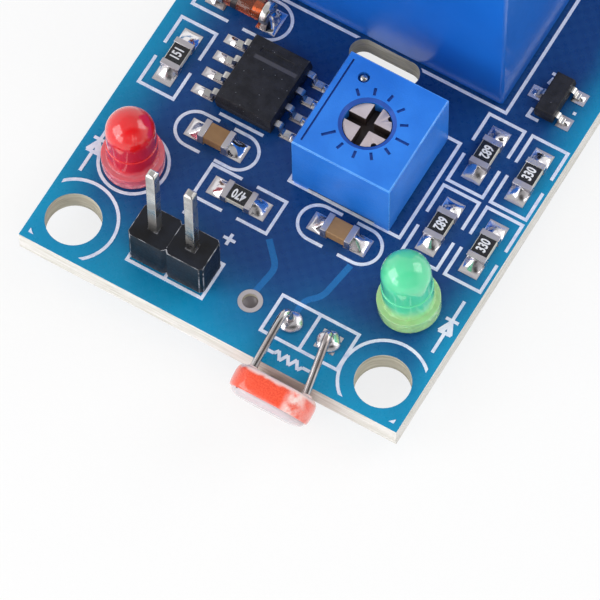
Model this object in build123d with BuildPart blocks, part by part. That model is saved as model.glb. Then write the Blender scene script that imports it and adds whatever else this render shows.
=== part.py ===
# Light sensor module: a small blue circuit board that carries a round photoresistor hanging over its
# front edge, a two-pin header, two indicator lamps, a comparator chip with its trimmer, chip resistors
# and capacitors, a sealed relay and a three-way screw terminal at the back.
#
# Units are millimetres. +Z is up, +X to the right and +Y from the sensor towards the terminal.
# The origin is the centre of the four mounting holes, on the board's underside.
# Places on the board are given from its left and front edges, on its top face.

import os
from math import cos, hypot, radians, sin

from build123d import *

os.makedirs("parts", exist_ok=True)

# Board, its solder and its print
board_thickness = 1.6
hole_diameter = 3.4
land_sides = 8
wire_sides = 12
hole_inset_x = 2.3
hole_inset_y = 2.45
solder_gap = 0.12
solder_foot = 0.32
solder_height = 0.95
solder_taper = 15.0
stub_length = 1.6
land_thickness = 0.05
print_thickness = 0.03
print_line = 0.2
print_margin = 0.42
hole_ring_gap = 0.95
outline_clearance = 0.57
outline_gap = 1.0

# Chip resistors and capacitors, all of one outline
chip_length = 2.0
chip_width = 1.25
resistor_height = 0.5
capacitor_height = 0.85
end_wrap = 0.38
end_skin = 0.05
glaze_thickness = 0.03
chip_land_length = 1.4
chip_land_reach = 1.95

# Comparator, an eight-lead small-outline chip
comparator_width = 3.9
comparator_length = 4.9
comparator_height = 1.45
comparator_standoff = 0.15
comparator_span = 6.0
comparator_pitch = 1.27
comparator_rows = 4
mould_draft = 7.0
gull_width = 0.42
gull_strip = 0.2
gull_bend = 0.16
gull_root = 0.3

# Trimmer
trimmer_width = 6.6
trimmer_depth = 7.0
trimmer_height = 4.85
trimmer_standoff = 0.35
trimmer_roof = 1.0
trimmer_skirt = 0.4
trimmer_foot = 1.0
trimmer_edge = 0.06
trimmer_pin = 0.5
trimmer_pin_inset = 0.76
trimmer_pin_offset = 1.27
lid_groove = 0.12
lid_groove_inset = 0.42
track_plate = 0.6
track_plate_recess = 0.4
rotor_stem = 2.86
rotor_flange = 5.0
rotor_clearance = 0.05
rotor_slot = 0.56
rotor_slot_depth = 0.85
rotor_recess = 0.16
rotor_notch = 0.36
rotor_notch_depth = 0.3
rotor_collar = 0.25
rotor_collar_depth = 0.12
wiper_sheet = 0.2
wiper_finger = 0.5
wiper_gap = 0.3
scale_marks = 11
scale_step = 27.0
scale_mark_start = 1.9
scale_mark_length = 0.5
scale_long_mark = 0.88
scale_mark_width = 0.18
scale_mark_depth = 0.12
plug_diameter = 0.62
plug_recess = 0.4

# Relay
relay_width = 15.5
relay_length = 19.0
relay_height = 15.0
relay_standoff = 0.2
relay_wall = 0.7
relay_edge = 0.22
relay_base_thickness = 0.6
relay_base_recess = 0.8
relay_foot = 1.0
relay_pin_width = 1.0
relay_pin_thickness = 0.4
relay_pin_inset = 1.75
relay_common_inset = 1.7
relay_coil_step = 2.0
relay_contact_inset = 3.1

# Screw terminal
terminal_pitch = 5.08
terminal_ways = 3
terminal_depth = 7.8
terminal_height = 10.0
terminal_side = 0.1
terminal_floor = 1.1
terminal_face = 1.35
terminal_ledge = 0.5
terminal_wall = 0.5
clamp_width = 3.6
clamp_length = 3.4
clamp_sheet = 0.7
clamp_side = 0.5
clamp_travel = 1.7
clamp_clearance = 0.12
contact_bar = 0.8
contact_width = 2.2
contact_pin = 0.9
contact_pin_inset = 1.75
screw_diameter = 2.5
screw_head_diameter = 3.8
screw_head_height = 1.3
screw_slot = 0.6
screw_clearance = 0.05

# Header
header_pitch = 2.54
header_pins_count = 2
header_depth = 2.3
header_height = 3.05
header_standoff = 0.25
header_corner = 0.2
header_pin = 0.6
header_pin_reach = 6.9
header_tip = 0.14

# Indicator lamps
lamp_diameter = 3.0
lamp_flange_diameter = 3.8
lamp_flange_height = 1.0
lamp_step_height = 2.55
lamp_step = 0.06
lamp_barrel_height = 3.75
lamp_standoff = 0.15
lamp_lead = 0.5
lamp_lead_pitch = 2.54
lamp_post_height = 0.8
lamp_frame_height = 2.5
lamp_cup_width = 0.85

# Photoresistor
sensor_diameter = 5.1
sensor_height = 4.3
sensor_thickness = 1.45
sensor_coat = 0.5
sensor_coat_inset = 0.3
sensor_tilt = 19.0
sensor_forward = 0.76
sensor_rise = 0.34
sensor_lead = 0.5
sensor_lead_spread = 3.55
sensor_hole_pitch = 2.54
sensor_bend = 0.8
sensor_lead_depth = 0.8
sensor_bead = 0.38
track_line = 0.3
track_film = 0.06
track_rows = 5

# Glass diode
diode_length = 3.5
diode_diameter = 1.5
diode_cap = 0.5
diode_glass_gap = 0.06

# Switching transistor
transistor_width = 1.3
transistor_length = 2.9
transistor_height = 1.0
transistor_standoff = 0.1
transistor_span = 2.4
transistor_pitch = 1.9
transistor_strip = 0.15

# Spacings between the pieces, and to the board's edges
front_row_y = 3.05
header_x = 8.9
test_hole_gap = 2.56
lamp_row_gap = 4.4
lamp_red_inset = 3.42
lamp_green_inset = 3.4
sensor_inset = 7.57
sensor_body_shift = 0.07
resistor_1_x = 10.05
resistor_1_gap = 1.05
capacitor_1_x = 6.95
capacitor_1_gap = 1.4
capacitor_2_gap = 0.92
capacitor_2_shift = 0.87
comparator_x = 7.65
comparator_gap = 1.2
trimmer_side_gap = 1.53
trimmer_front_gap = 0.94
rotor_shift_x = -0.07
rotor_shift_y = -0.23
plug_inset_x = 1.52
plug_inset_y = 1.18
resistor_2_gap = 2.55
resistor_2_shift = -0.68
column_1_gap = 2.42
column_2_gap = 1.68
row_1_gap = 2.76
row_2_gap = 1.55
right_margin = 0.845
diode_shift = 1.85
diode_gap = 1.05
relay_gap = 3.6
relay_shift = -0.15
slot_shift = 0.25
slot_gap = 0.1
transistor_inset = 2.65
transistor_gap = 1.75
terminal_gap = 0.6
back_margin = 1.015

# Places, each from the pieces beside it
lamp_row_y = front_row_y + lamp_row_gap
test_hole_diameter = 0.95
test_land_diameter = 1.5
test_hole_x = header_x + header_pitch + test_hole_gap
resistor_1_y = lamp_row_y + resistor_1_gap
capacitor_1_y = resistor_1_y + chip_width + capacitor_1_gap
capacitor_2_y = resistor_1_y + capacitor_2_gap
comparator_y = capacitor_1_y + chip_width / 2 + comparator_gap + comparator_length / 2
trimmer_x = comparator_x + comparator_span / 2 + trimmer_side_gap + trimmer_width / 2
trimmer_y = capacitor_2_y + chip_width / 2 + trimmer_front_gap + trimmer_depth / 2
rotor_x = trimmer_x + rotor_shift_x
rotor_y = trimmer_y + rotor_shift_y
plug_x = trimmer_x - trimmer_width / 2 + plug_inset_x
plug_y = trimmer_y + trimmer_depth / 2 - plug_inset_y
capacitor_2_x = trimmer_x + capacitor_2_shift
resistor_2_x = comparator_x - comparator_span / 2 - resistor_2_gap
resistor_2_y = comparator_y + resistor_2_shift
column_1_x = trimmer_x + trimmer_width / 2 + column_1_gap
column_2_x = column_1_x + chip_width + column_2_gap
row_1_y = capacitor_2_y + chip_width / 2 + row_1_gap
row_2_y = row_1_y + 2 * chip_land_reach + row_2_gap
board_width = column_2_x + chip_width / 2 + right_margin
diode_x = resistor_2_x + diode_shift
diode_y = comparator_y + comparator_length / 2 + diode_gap + diode_diameter / 2
relay_front = trimmer_y + trimmer_depth / 2 + relay_gap
relay_back = relay_front + relay_length
relay_x = board_width / 2 + relay_shift
slot_width = 1.7
slot_length = 4.6
slot_x = relay_x + slot_shift
slot_y = relay_front - slot_gap - slot_width / 2
terminal_x = board_width / 2
terminal_front = relay_back + terminal_gap
board_length = terminal_front + terminal_depth + back_margin
transistor_x = board_width - transistor_inset
transistor_y = row_2_y + chip_land_reach + transistor_gap + transistor_length / 2
sensor_x = board_width - sensor_inset
sensor_body_x = sensor_x + sensor_body_shift
lamp_red_x = lamp_red_inset
lamp_green_x = board_width - lamp_green_inset
lamp_red_lean = 1.4
lamp_green_lean = 4.0


def spot(x, y, height=0.0):
    """A place over the board, from its left and front edges and its top face, in the part's frame."""
    return Vector(x - board_width / 2, y - board_length / 2, board_thickness + height)


def deck(x=0.0, y=0.0, height=0.0, turn=0.0):
    """A level plane at such a place, turned about Z."""
    return Plane(
        origin=spot(x, y, height),
        x_dir=(cos(radians(turn)), sin(radians(turn)), 0),
        z_dir=(0, 0, 1),
    )


def upright(x, y, height=0.0, turn=0.0):
    """A standing plane at such a place: its first axis is level and its second points up."""
    level = (cos(radians(turn)), sin(radians(turn)), 0)
    return Plane(origin=spot(x, y, height), x_dir=level, z_dir=(level[1], -level[0], 0))


def at(x, y, height=0.0, turn=0.0):
    """The same place as a location for a piece that is repeated."""
    return Location(spot(x, y, height), (0, 0, turn))


def finish(piece, name):
    """Label a finished piece and write it to its own file."""
    piece.part.label = name
    export_step(piece.part, f"parts/{name}.step")


# Places of the leads that pass through the board
header_places = [
    (header_x + (pin - (header_pins_count - 1) / 2) * header_pitch, front_row_y)
    for pin in range(header_pins_count)
]
sensor_places = [(sensor_x + side * sensor_hole_pitch / 2, front_row_y) for side in (-1, 1)]
lamps = [("lamp_red", lamp_red_x, lamp_red_lean), ("lamp_green", lamp_green_x, lamp_green_lean)]
lamp_places = [
    (lamp_x + side * lamp_lead_pitch / 2, lamp_row_y) for _, lamp_x, _ in lamps for side in (-1, 1)
]
trimmer_pin_spread = trimmer_width - 2 * trimmer_pin_inset
trimmer_places = [
    (trimmer_x + side * trimmer_pin_spread / 2, trimmer_y + (1 - 2 * abs(side)) * trimmer_pin_offset)
    for side in (-1, 0, 1)
]
relay_pin_spread = relay_width - 2 * relay_pin_inset
common_y = relay_front + relay_common_inset
relay_places = [(relay_x, common_y)] + [
    (relay_x + side * relay_pin_spread / 2, row_y)
    for row_y in (common_y + relay_coil_step, relay_back - relay_contact_inset)
    for side in (-1, 1)
]
way_places = [
    terminal_x + (way - (terminal_ways - 1) / 2) * terminal_pitch for way in range(terminal_ways)
]
contact_y = terminal_front + contact_pin_inset
contact_places = [(way_x, contact_y) for way_x in way_places]

# The bore at each of them: the lead's diagonal or diameter, and room for solder all round
bores = (
    [(place, hypot(header_pin, header_pin) + 2 * solder_gap) for place in header_places]
    + [(place, sensor_lead + 2 * solder_gap) for place in sensor_places]
    + [(place, hypot(lamp_lead, lamp_lead) + 2 * solder_gap) for place in lamp_places]
    + [(place, trimmer_pin + 2 * solder_gap) for place in trimmer_places]
    + [(place, hypot(relay_pin_width, relay_pin_thickness) + 2 * solder_gap) for place in relay_places]
    + [(place, hypot(contact_pin, contact_pin) + 2 * solder_gap) for place in contact_places]
)

# Circuit board, with the milled slot that parts the relay's contacts from the low-voltage side
with BuildPart() as circuit_board:
    with BuildSketch():
        Rectangle(board_width, board_length)
        with GridLocations(board_width - 2 * hole_inset_x, board_length - 2 * hole_inset_y, 2, 2):
            Circle(hole_diameter / 2, mode=Mode.SUBTRACT)
    extrude(amount=board_thickness)
    with BuildSketch(deck()):
        for place, bore in bores:
            with Locations(place):
                RegularPolygon(bore / 2, land_sides)
        with Locations((test_hole_x, front_row_y)):
            Circle(test_hole_diameter / 2)
        with Locations((slot_x, slot_y)):
            SlotOverall(slot_length, slot_width)
    extrude(amount=-board_thickness, mode=Mode.SUBTRACT)
finish(circuit_board, "circuit_board")

# Chip parts: name, place and turn. At a turn of 0 the long side runs across the board.
resistors = [
    ("resistor_1", resistor_1_x, resistor_1_y, 0.0),
    ("resistor_2", resistor_2_x, resistor_2_y, 90.0),
    ("resistor_3", column_1_x, row_1_y, 90.0),
    ("resistor_4", column_2_x, row_1_y, 90.0),
    ("resistor_5", column_1_x, row_2_y, 90.0),
    ("resistor_6", column_2_x, row_2_y, 90.0),
]
capacitors = [
    ("capacitor_1", capacitor_1_x, capacitor_1_y, 0.0),
    ("capacitor_2", capacitor_2_x, capacitor_2_y, 0.0),
]
chips = [(*chip, resistor_height) for chip in resistors] + [(*chip, capacitor_height) for chip in capacitors]

for chip_name, chip_x, chip_y, chip_turn, chip_height in chips:
    with BuildPart() as chip_body:
        with BuildSketch(deck(chip_x, chip_y, land_thickness + end_skin, chip_turn)):
            Rectangle(chip_length - 2 * end_skin, chip_width - 2 * end_skin)
        extrude(amount=chip_height - 2 * end_skin)
    finish(chip_body, f"{chip_name}_body")

    with BuildPart() as chip_ends:
        with BuildSketch(deck(chip_x, chip_y, land_thickness, chip_turn)):
            with GridLocations(chip_length - end_wrap, 0, 2, 1):
                Rectangle(end_wrap, chip_width)
        extrude(amount=chip_height)
        add(chip_body.part, mode=Mode.SUBTRACT)
    finish(chip_ends, f"{chip_name}_ends")

# The black glaze over each resistor's element
glaze_seat = land_thickness + resistor_height - end_skin
with BuildPart() as resistor_glaze:
    for _, chip_x, chip_y, chip_turn in resistors:
        with BuildSketch(deck(chip_x, chip_y, glaze_seat, chip_turn)):
            Rectangle(chip_length - 2 * end_wrap, chip_width - 4 * end_skin)
        extrude(amount=glaze_thickness)
finish(resistor_glaze, "resistor_glaze")


def gull_wing(body_half, middle, reach, strip, width):
    """One lead that leaves a moulded body at its middle, steps down and ends in a flat foot."""
    knee = body_half + 0.45 * (reach - body_half)
    foot = land_thickness + strip / 2
    with BuildPart() as wing:
        with BuildSketch(Plane.XZ):
            with BuildLine() as path:
                FilletPolyline(
                    (body_half - gull_root, middle),
                    (knee - strip / 2, middle),
                    (knee, foot),
                    (reach, foot),
                    radius=gull_bend,
                )
            trace(path.line, line_width=strip)
        extrude(amount=width / 2, both=True)
    return wing.part


# Comparator: eight gull-wing leads in a body that tapers both ways from its parting line
comparator_middle = comparator_standoff + comparator_height / 2
comparator_wing = gull_wing(
    comparator_width / 2, comparator_middle, comparator_span / 2, gull_strip, gull_width
)
comparator_rows_y = [
    comparator_y + (row - (comparator_rows - 1) / 2) * comparator_pitch for row in range(comparator_rows)
]
with BuildPart() as comparator_leads:
    with Locations([at(comparator_x, row_y, 0, turn) for row_y in comparator_rows_y for turn in (0, 180)]):
        add(comparator_wing)
finish(comparator_leads, "comparator_leads")

stripe_inset = 0.85
stripe_width = 0.3
stripe_depth = 0.05
with BuildPart() as comparator_body:
    for side in (1, -1):
        with BuildSketch(deck(comparator_x, comparator_y, comparator_middle)):
            Rectangle(comparator_width, comparator_length)
        extrude(amount=side * comparator_height / 2, taper=mould_draft)
    comparator_top = comparator_standoff + comparator_height
    with BuildSketch(deck(comparator_x, comparator_y + comparator_length / 2 - stripe_inset, comparator_top)):
        Rectangle(comparator_width - 2 * stripe_inset, stripe_width)
    extrude(amount=-stripe_depth, mode=Mode.SUBTRACT)
    add(comparator_leads.part, mode=Mode.SUBTRACT)
finish(comparator_body, "comparator_body")

# Switching transistor: one lead towards the relay and two towards the board's edge
transistor_middle = transistor_standoff + transistor_height / 2
transistor_wing = gull_wing(
    transistor_width / 2, transistor_middle, transistor_span / 2, transistor_strip, gull_width
)
transistor_wings = [(transistor_y, 180.0)] + [
    (transistor_y + side * transistor_pitch / 2, 0.0) for side in (-1, 1)
]
with BuildPart() as transistor_leads:
    with Locations([at(transistor_x, lead_y, 0, turn) for lead_y, turn in transistor_wings]):
        add(transistor_wing)
finish(transistor_leads, "transistor_leads")

with BuildPart() as transistor_body:
    for side in (1, -1):
        with BuildSketch(deck(transistor_x, transistor_y, transistor_middle)):
            Rectangle(transistor_width, transistor_length)
        extrude(amount=side * transistor_height / 2, taper=mould_draft)
    add(transistor_leads.part, mode=Mode.SUBTRACT)
finish(transistor_body, "transistor_body")

# Glass diode: a glass tube sealed round two metal plugs that end in round caps
diode_height = land_thickness + diode_diameter / 2
diode_axis = Plane(origin=spot(diode_x, diode_y, diode_height), x_dir=(0, 1, 0), z_dir=(1, 0, 0))
diode_plug = 0.8
with BuildPart() as diode_caps:
    for side in (-1, 1):
        with BuildSketch(diode_axis.offset(side * diode_length / 2)):
            Circle(diode_diameter / 2)
        extrude(amount=-side * diode_cap)
        with BuildSketch(diode_axis.offset(side * (diode_length / 2 - diode_cap))):
            Circle(diode_diameter / 4)
        extrude(amount=-side * diode_plug)
finish(diode_caps, "diode_caps")

with BuildPart() as diode_glass:
    with BuildSketch(diode_axis):
        Circle(diode_diameter / 2 - diode_glass_gap)
    extrude(amount=diode_length / 2 - diode_cap, both=True)
    add(diode_caps.part, mode=Mode.SUBTRACT)
finish(diode_glass, "diode_glass")

# Trimmer: pins in the track plate, which closes the housing from below, and the rotor with its wiper
trimmer_top = trimmer_standoff + trimmer_height
plate_bottom = trimmer_standoff + track_plate_recess
plate_top = plate_bottom + track_plate
with BuildPart() as trimmer_pins:
    with BuildSketch(deck(height=plate_top)):
        with Locations(trimmer_places):
            RegularPolygon(trimmer_pin / 2, wire_sides)
    extrude(amount=-(plate_top + board_thickness + stub_length))
finish(trimmer_pins, "trimmer_pins")

with BuildPart() as trimmer_track_plate:
    with BuildSketch(deck(trimmer_x, trimmer_y, plate_bottom)):
        Rectangle(trimmer_width - 2 * trimmer_skirt, trimmer_depth - 2 * trimmer_skirt)
    extrude(amount=track_plate)
    add(trimmer_pins.part, mode=Mode.SUBTRACT)
finish(trimmer_track_plate, "trimmer_track_plate")

foot_inset = trimmer_edge + trimmer_foot / 2
collar_top = rotor_stem / 2 + rotor_clearance + rotor_collar
with BuildPart() as trimmer_housing:
    with BuildSketch(deck(trimmer_x, trimmer_y, trimmer_standoff)):
        Rectangle(trimmer_width, trimmer_depth)
    extrude(amount=trimmer_height)
    chamfer(trimmer_housing.faces().sort_by(Axis.Z)[-1].edges(), trimmer_edge)
    with BuildSketch(deck(trimmer_x, trimmer_y)):
        with GridLocations(trimmer_width - 2 * foot_inset, trimmer_depth - 2 * foot_inset, 2, 2):
            Rectangle(trimmer_foot, trimmer_foot)
    extrude(amount=trimmer_standoff)
    with BuildSketch(deck(rotor_x, rotor_y, trimmer_top)):
        for mark in range(scale_marks):
            mark_turn = (mark - (scale_marks - 1) / 2) * scale_step
            mark_length = scale_long_mark if mark in (0, (scale_marks - 1) // 2) else scale_mark_length
            reach = scale_mark_start + mark_length / 2
            with Locations(Location((reach * cos(radians(mark_turn)), reach * sin(radians(mark_turn)), 0))):
                Rectangle(mark_length, scale_mark_width, rotation=mark_turn)
    extrude(amount=-scale_mark_depth, mode=Mode.SUBTRACT)
    with BuildSketch(deck(trimmer_x - trimmer_width / 2 + lid_groove_inset, trimmer_y, trimmer_top)):
        Rectangle(lid_groove, trimmer_depth - 2 * lid_groove_inset)
    extrude(amount=-lid_groove, mode=Mode.SUBTRACT)
    with BuildSketch(deck(trimmer_x, trimmer_y)):
        Rectangle(trimmer_width - 2 * trimmer_skirt, trimmer_depth - 2 * trimmer_skirt)
    extrude(amount=plate_top, mode=Mode.SUBTRACT)
    with BuildSketch(deck(rotor_x, rotor_y, plate_top)):
        Circle(rotor_flange / 2 + rotor_clearance)
    extrude(amount=trimmer_top - trimmer_roof - plate_top, mode=Mode.SUBTRACT)
    with BuildSketch(deck(rotor_x, rotor_y, trimmer_top)):
        Circle(rotor_stem / 2 + rotor_clearance)
    extrude(amount=-trimmer_roof, mode=Mode.SUBTRACT)
    with Locations(at(rotor_x, rotor_y, trimmer_top - rotor_collar_depth / 2)):
        Cone(collar_top - rotor_collar, collar_top, rotor_collar_depth, mode=Mode.SUBTRACT)
    with BuildSketch(deck(plug_x, plug_y, trimmer_top)):
        Circle(plug_diameter / 2 + rotor_clearance)
    extrude(amount=-plug_recess, mode=Mode.SUBTRACT)
finish(trimmer_housing, "trimmer_housing")

with BuildPart() as trimmer_plug:
    with BuildSketch(deck(plug_x, plug_y, trimmer_top - plug_recess)):
        Circle(plug_diameter / 2)
    extrude(amount=plug_recess)
    chamfer(trimmer_plug.faces().sort_by(Axis.Z)[-1].edges(), plug_diameter / 4)
finish(trimmer_plug, "trimmer_plug")

wiper_seat = plate_top + wiper_gap + wiper_sheet
flange_top = trimmer_top - trimmer_roof - rotor_clearance
with BuildPart() as trimmer_rotor:
    with BuildSketch(deck(rotor_x, rotor_y, wiper_seat)):
        Circle(rotor_flange / 2)
    extrude(amount=flange_top - wiper_seat)
    with BuildSketch(deck(rotor_x, rotor_y, flange_top)):
        Circle(rotor_stem / 2)
    extrude(amount=trimmer_top - rotor_recess - flange_top)
    with BuildSketch(deck(rotor_x, rotor_y, trimmer_top - rotor_recess)):
        Rectangle(rotor_stem, rotor_slot)
        Rectangle(rotor_slot, rotor_stem)
    extrude(amount=-rotor_slot_depth, mode=Mode.SUBTRACT)
    with BuildSketch(deck(rotor_x, rotor_y, trimmer_top - rotor_recess)):
        with PolarLocations(rotor_stem / 2, 2, start_angle=-45, angular_range=180):
            Circle(rotor_notch / 2)
    extrude(amount=-rotor_notch_depth, mode=Mode.SUBTRACT)
finish(trimmer_rotor, "trimmer_rotor")

wiper_reach = rotor_flange / 2 - wiper_finger
with BuildPart() as trimmer_wiper:
    with BuildSketch(deck(rotor_x, rotor_y, wiper_seat - wiper_sheet)):
        SlotOverall(2 * wiper_reach + wiper_finger, 2 * wiper_finger, rotation=90)
    extrude(amount=wiper_sheet)
    with BuildSketch(deck(rotor_x, rotor_y, wiper_seat - wiper_sheet)):
        with Locations((0, 0), (0, -wiper_reach + wiper_finger)):
            Circle(wiper_finger / 2)
    extrude(amount=-(wiper_gap - rotor_clearance))
finish(trimmer_wiper, "trimmer_wiper")

# Relay: flat pins in a potted base, under a moulded case that stands on four small feet
base_bottom = relay_standoff + relay_base_recess - relay_base_thickness
with BuildPart() as relay_pins:
    with BuildSketch(deck(height=base_bottom + relay_base_thickness)):
        with Locations(relay_places):
            Rectangle(relay_pin_width, relay_pin_thickness)
    extrude(amount=-(base_bottom + relay_base_thickness + board_thickness + stub_length))
finish(relay_pins, "relay_pins")

relay_y = relay_front + relay_length / 2
with BuildPart() as relay_base:
    with BuildSketch(deck(relay_x, relay_y, base_bottom)):
        Rectangle(relay_width - 2 * relay_wall, relay_length - 2 * relay_wall)
    extrude(amount=relay_base_thickness)
    add(relay_pins.part, mode=Mode.SUBTRACT)
finish(relay_base, "relay_base")

with BuildPart() as relay_case:
    with BuildSketch(deck(relay_x, relay_y, relay_standoff)):
        Rectangle(relay_width, relay_length)
    extrude(amount=relay_height)
    case_edges = relay_case.edges().filter_by(Axis.Z) + relay_case.faces().sort_by(Axis.Z)[-1].edges()
    fillet(case_edges, relay_edge)
    with BuildSketch(deck(relay_x, relay_y)):
        foot_span = relay_foot + 2 * relay_edge
        with GridLocations(relay_width - foot_span, relay_length - foot_span, 2, 2):
            Rectangle(relay_foot, relay_foot)
    extrude(amount=relay_standoff)
    with BuildSketch(deck(relay_x, relay_y)):
        Rectangle(relay_width - 2 * relay_wall, relay_length - 2 * relay_wall)
    extrude(amount=relay_standoff + relay_base_recess, mode=Mode.SUBTRACT)
finish(relay_case, "relay_case")

# Header: square pins with tapered tips, through a block of two eight-sided cells
header_top = header_standoff + header_height
header_tip_top = header_top + header_pin_reach
with BuildPart() as header_pins:
    with BuildSketch(deck(height=-board_thickness - stub_length)):
        with Locations(header_places):
            Rectangle(header_pin, header_pin)
    extrude(amount=board_thickness + stub_length + header_tip_top)
    header_pin_ends = header_pins.faces().filter_by(Axis.Z)
    chamfer(header_pin_ends.edges(), header_tip)
finish(header_pins, "header_pins")

with BuildSketch() as header_cell:
    Rectangle(header_pitch, header_depth)
    chamfer(header_cell.vertices(), header_corner)

with BuildPart() as header_block:
    with BuildSketch(deck(height=header_standoff)):
        with Locations(header_places):
            add(header_cell.sketch)
    extrude(amount=header_height)
    add(header_pins.part, mode=Mode.SUBTRACT)
finish(header_block, "header_block")

# Indicator lamps: two lead posts, one with a reflector cup, moulded into a domed lens
for lamp_number, (lamp_name, lamp_x, lamp_lean) in enumerate(lamps):
    lamp_posts = lamp_places[2 * lamp_number : 2 * lamp_number + 2]
    with BuildPart() as lamp_leads:
        with BuildSketch(deck(height=-board_thickness - stub_length)):
            with Locations(lamp_posts):
                Rectangle(lamp_lead, lamp_lead)
        extrude(amount=board_thickness + stub_length + lamp_post_height)
        with BuildSketch(deck(lamp_x, lamp_row_y, lamp_post_height - lamp_lead)):
            with Locations((-(lamp_lead_pitch - lamp_cup_width) / 2, 0)):
                Rectangle(lamp_cup_width, lamp_lead)
            with Locations(((lamp_lead_pitch - lamp_lead) / 2, 0)):
                Rectangle(lamp_lead, lamp_lead)
        extrude(amount=lamp_frame_height - lamp_post_height + lamp_lead)
    finish(lamp_leads, f"{lamp_name}_leads")

    lean = radians(lamp_lean)
    stem = (-sin(lean), 0, cos(lean))
    lamp_seat = spot(lamp_x, lamp_row_y, lamp_standoff)
    lens_radius = lamp_diameter / 2
    dome_seat = lamp_barrel_height
    with BuildPart() as lamp_lens:
        with BuildSketch(Plane(origin=lamp_seat, x_dir=(cos(lean), 0, sin(lean)), z_dir=(0, -1, 0))):
            with BuildLine():
                Polyline(
                    (0, dome_seat + lens_radius),
                    (0, 0),
                    (lamp_flange_diameter / 2, 0),
                    (lamp_flange_diameter / 2, lamp_flange_height),
                    (lens_radius + lamp_step, lamp_flange_height),
                    (lens_radius + lamp_step, lamp_step_height),
                    (lens_radius, lamp_step_height),
                    (lens_radius, dome_seat),
                )
                RadiusArc((lens_radius, dome_seat), (0, dome_seat + lens_radius), -lens_radius)
            make_face()
        revolve(axis=Axis(lamp_seat, stem))
        add(lamp_leads.part, mode=Mode.SUBTRACT)
    finish(lamp_lens, f"{lamp_name}_lens")

# Photoresistor: its back face leans down and forward of the board's front edge, which it clears
tilt = radians(sensor_tilt)
sensor_face = Plane(
    origin=spot(sensor_body_x, -sensor_forward, sensor_rise),
    x_dir=(1, 0, 0),
    z_dir=(0, -cos(tilt), -sin(tilt)),
)
with BuildPart() as sensor_leads:
    for side, (lead_x, lead_y) in zip((-1, 1), sensor_places):
        entry = sensor_face.from_local_coords((side * sensor_lead_spread / 2, 0, sensor_lead_depth))
        back = sensor_face.from_local_coords((side * sensor_lead_spread / 2, 0, 0))
        crown = back.Z + (lead_y + sensor_forward) * sin(tilt) / cos(tilt)
        lead_end = spot(lead_x, lead_y, -board_thickness - stub_length)
        with BuildLine() as lead_path:
            FilletPolyline(lead_end, (lead_end.X, lead_end.Y, crown), entry, radius=sensor_bend)
        with BuildSketch(Plane(origin=lead_end, z_dir=(0, 0, 1))):
            RegularPolygon(sensor_lead / 2, wire_sides)
        sweep(path=lead_path.line)
finish(sensor_leads, "sensor_leads")

sensor_corner = 0.8
with BuildSketch() as sensor_outline:
    Circle(sensor_diameter / 2)
    Rectangle(sensor_diameter, sensor_height, mode=Mode.INTERSECT)
    fillet(sensor_outline.vertices(), sensor_corner)

back_edge = 0.25
face_edge = 0.1
with BuildPart() as sensor_body:
    with BuildSketch(sensor_face):
        add(sensor_outline.sketch)
    extrude(amount=sensor_thickness)
    sensor_rims = sensor_body.faces().sort_by(Axis(sensor_face.origin, sensor_face.z_dir))
    chamfer(sensor_rims[0].edges(), back_edge)
    chamfer(sensor_rims[-1].edges(), face_edge)
    with BuildSketch(sensor_face):
        with GridLocations(sensor_lead_spread, 0, 2, 1):
            RegularPolygon(sensor_lead / 2 + 2 * solder_gap, wire_sides)
    extrude(amount=-sensor_bead, taper=25)
    add(sensor_leads.part, mode=Mode.SUBTRACT)
finish(sensor_body, "sensor_body")

film_plane = sensor_face.offset(sensor_thickness)
film_reach = sensor_diameter / 2 - 3 * sensor_coat_inset
row_step = (sensor_height - 4 * sensor_coat_inset) / (track_rows - 1)
with BuildPart() as sensor_track:
    with BuildSketch(film_plane):
        for row in range(track_rows):
            row_height = (row - (track_rows - 1) / 2) * row_step
            with Locations((0, row_height)):
                Rectangle(2 * film_reach, track_line)
            if row < track_rows - 1:
                link_x = (film_reach - track_line / 2) * (1 if row % 2 == 0 else -1)
                with Locations((link_x, row_height + row_step / 2)):
                    Rectangle(track_line, row_step)
    extrude(amount=track_film)
finish(sensor_track, "sensor_track")

coat_edge = 0.22
with BuildPart() as sensor_coating:
    with BuildSketch(film_plane):
        add(sensor_outline.sketch)
        offset(amount=-sensor_coat_inset)
    extrude(amount=sensor_coat)
    chamfer(sensor_coating.faces().sort_by(Axis(film_plane.origin, film_plane.z_dir))[-1].edges(), coat_edge)
    add(sensor_track.part, mode=Mode.SUBTRACT)
finish(sensor_coating, "sensor_coating")

# Screw terminal, heights from the board's top. Turning a screw clockwise draws its clamp up to the bar.
clamp_bottom = terminal_floor + clamp_clearance
bar_bottom = clamp_bottom + clamp_sheet + clamp_travel + clamp_clearance
bar_top = bar_bottom + contact_bar
clamp_top = bar_top + clamp_clearance + clamp_sheet
cell_top = clamp_top + clamp_travel + clamp_clearance
screw_seat = cell_top + terminal_ledge + screw_clearance
cell_front = terminal_depth - terminal_face
clamp_y = terminal_front + cell_front - clamp_clearance - clamp_length / 2
cell_back = contact_pin_inset - contact_pin / 2
bar_root = 0.3
with BuildPart() as terminal_contacts:
    with BuildSketch(deck(height=bar_bottom)):
        for way_x in way_places:
            with Locations((way_x, terminal_front + (cell_back - bar_root + cell_front) / 2)):
                Rectangle(contact_width, cell_front - cell_back + bar_root - 2 * clamp_clearance)
    extrude(amount=contact_bar)
    with BuildSketch(deck(height=bar_bottom)):
        with Locations(contact_places):
            Rectangle(contact_pin, contact_pin)
    extrude(amount=-(bar_bottom + board_thickness + stub_length))
finish(terminal_contacts, "terminal_contacts")

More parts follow.
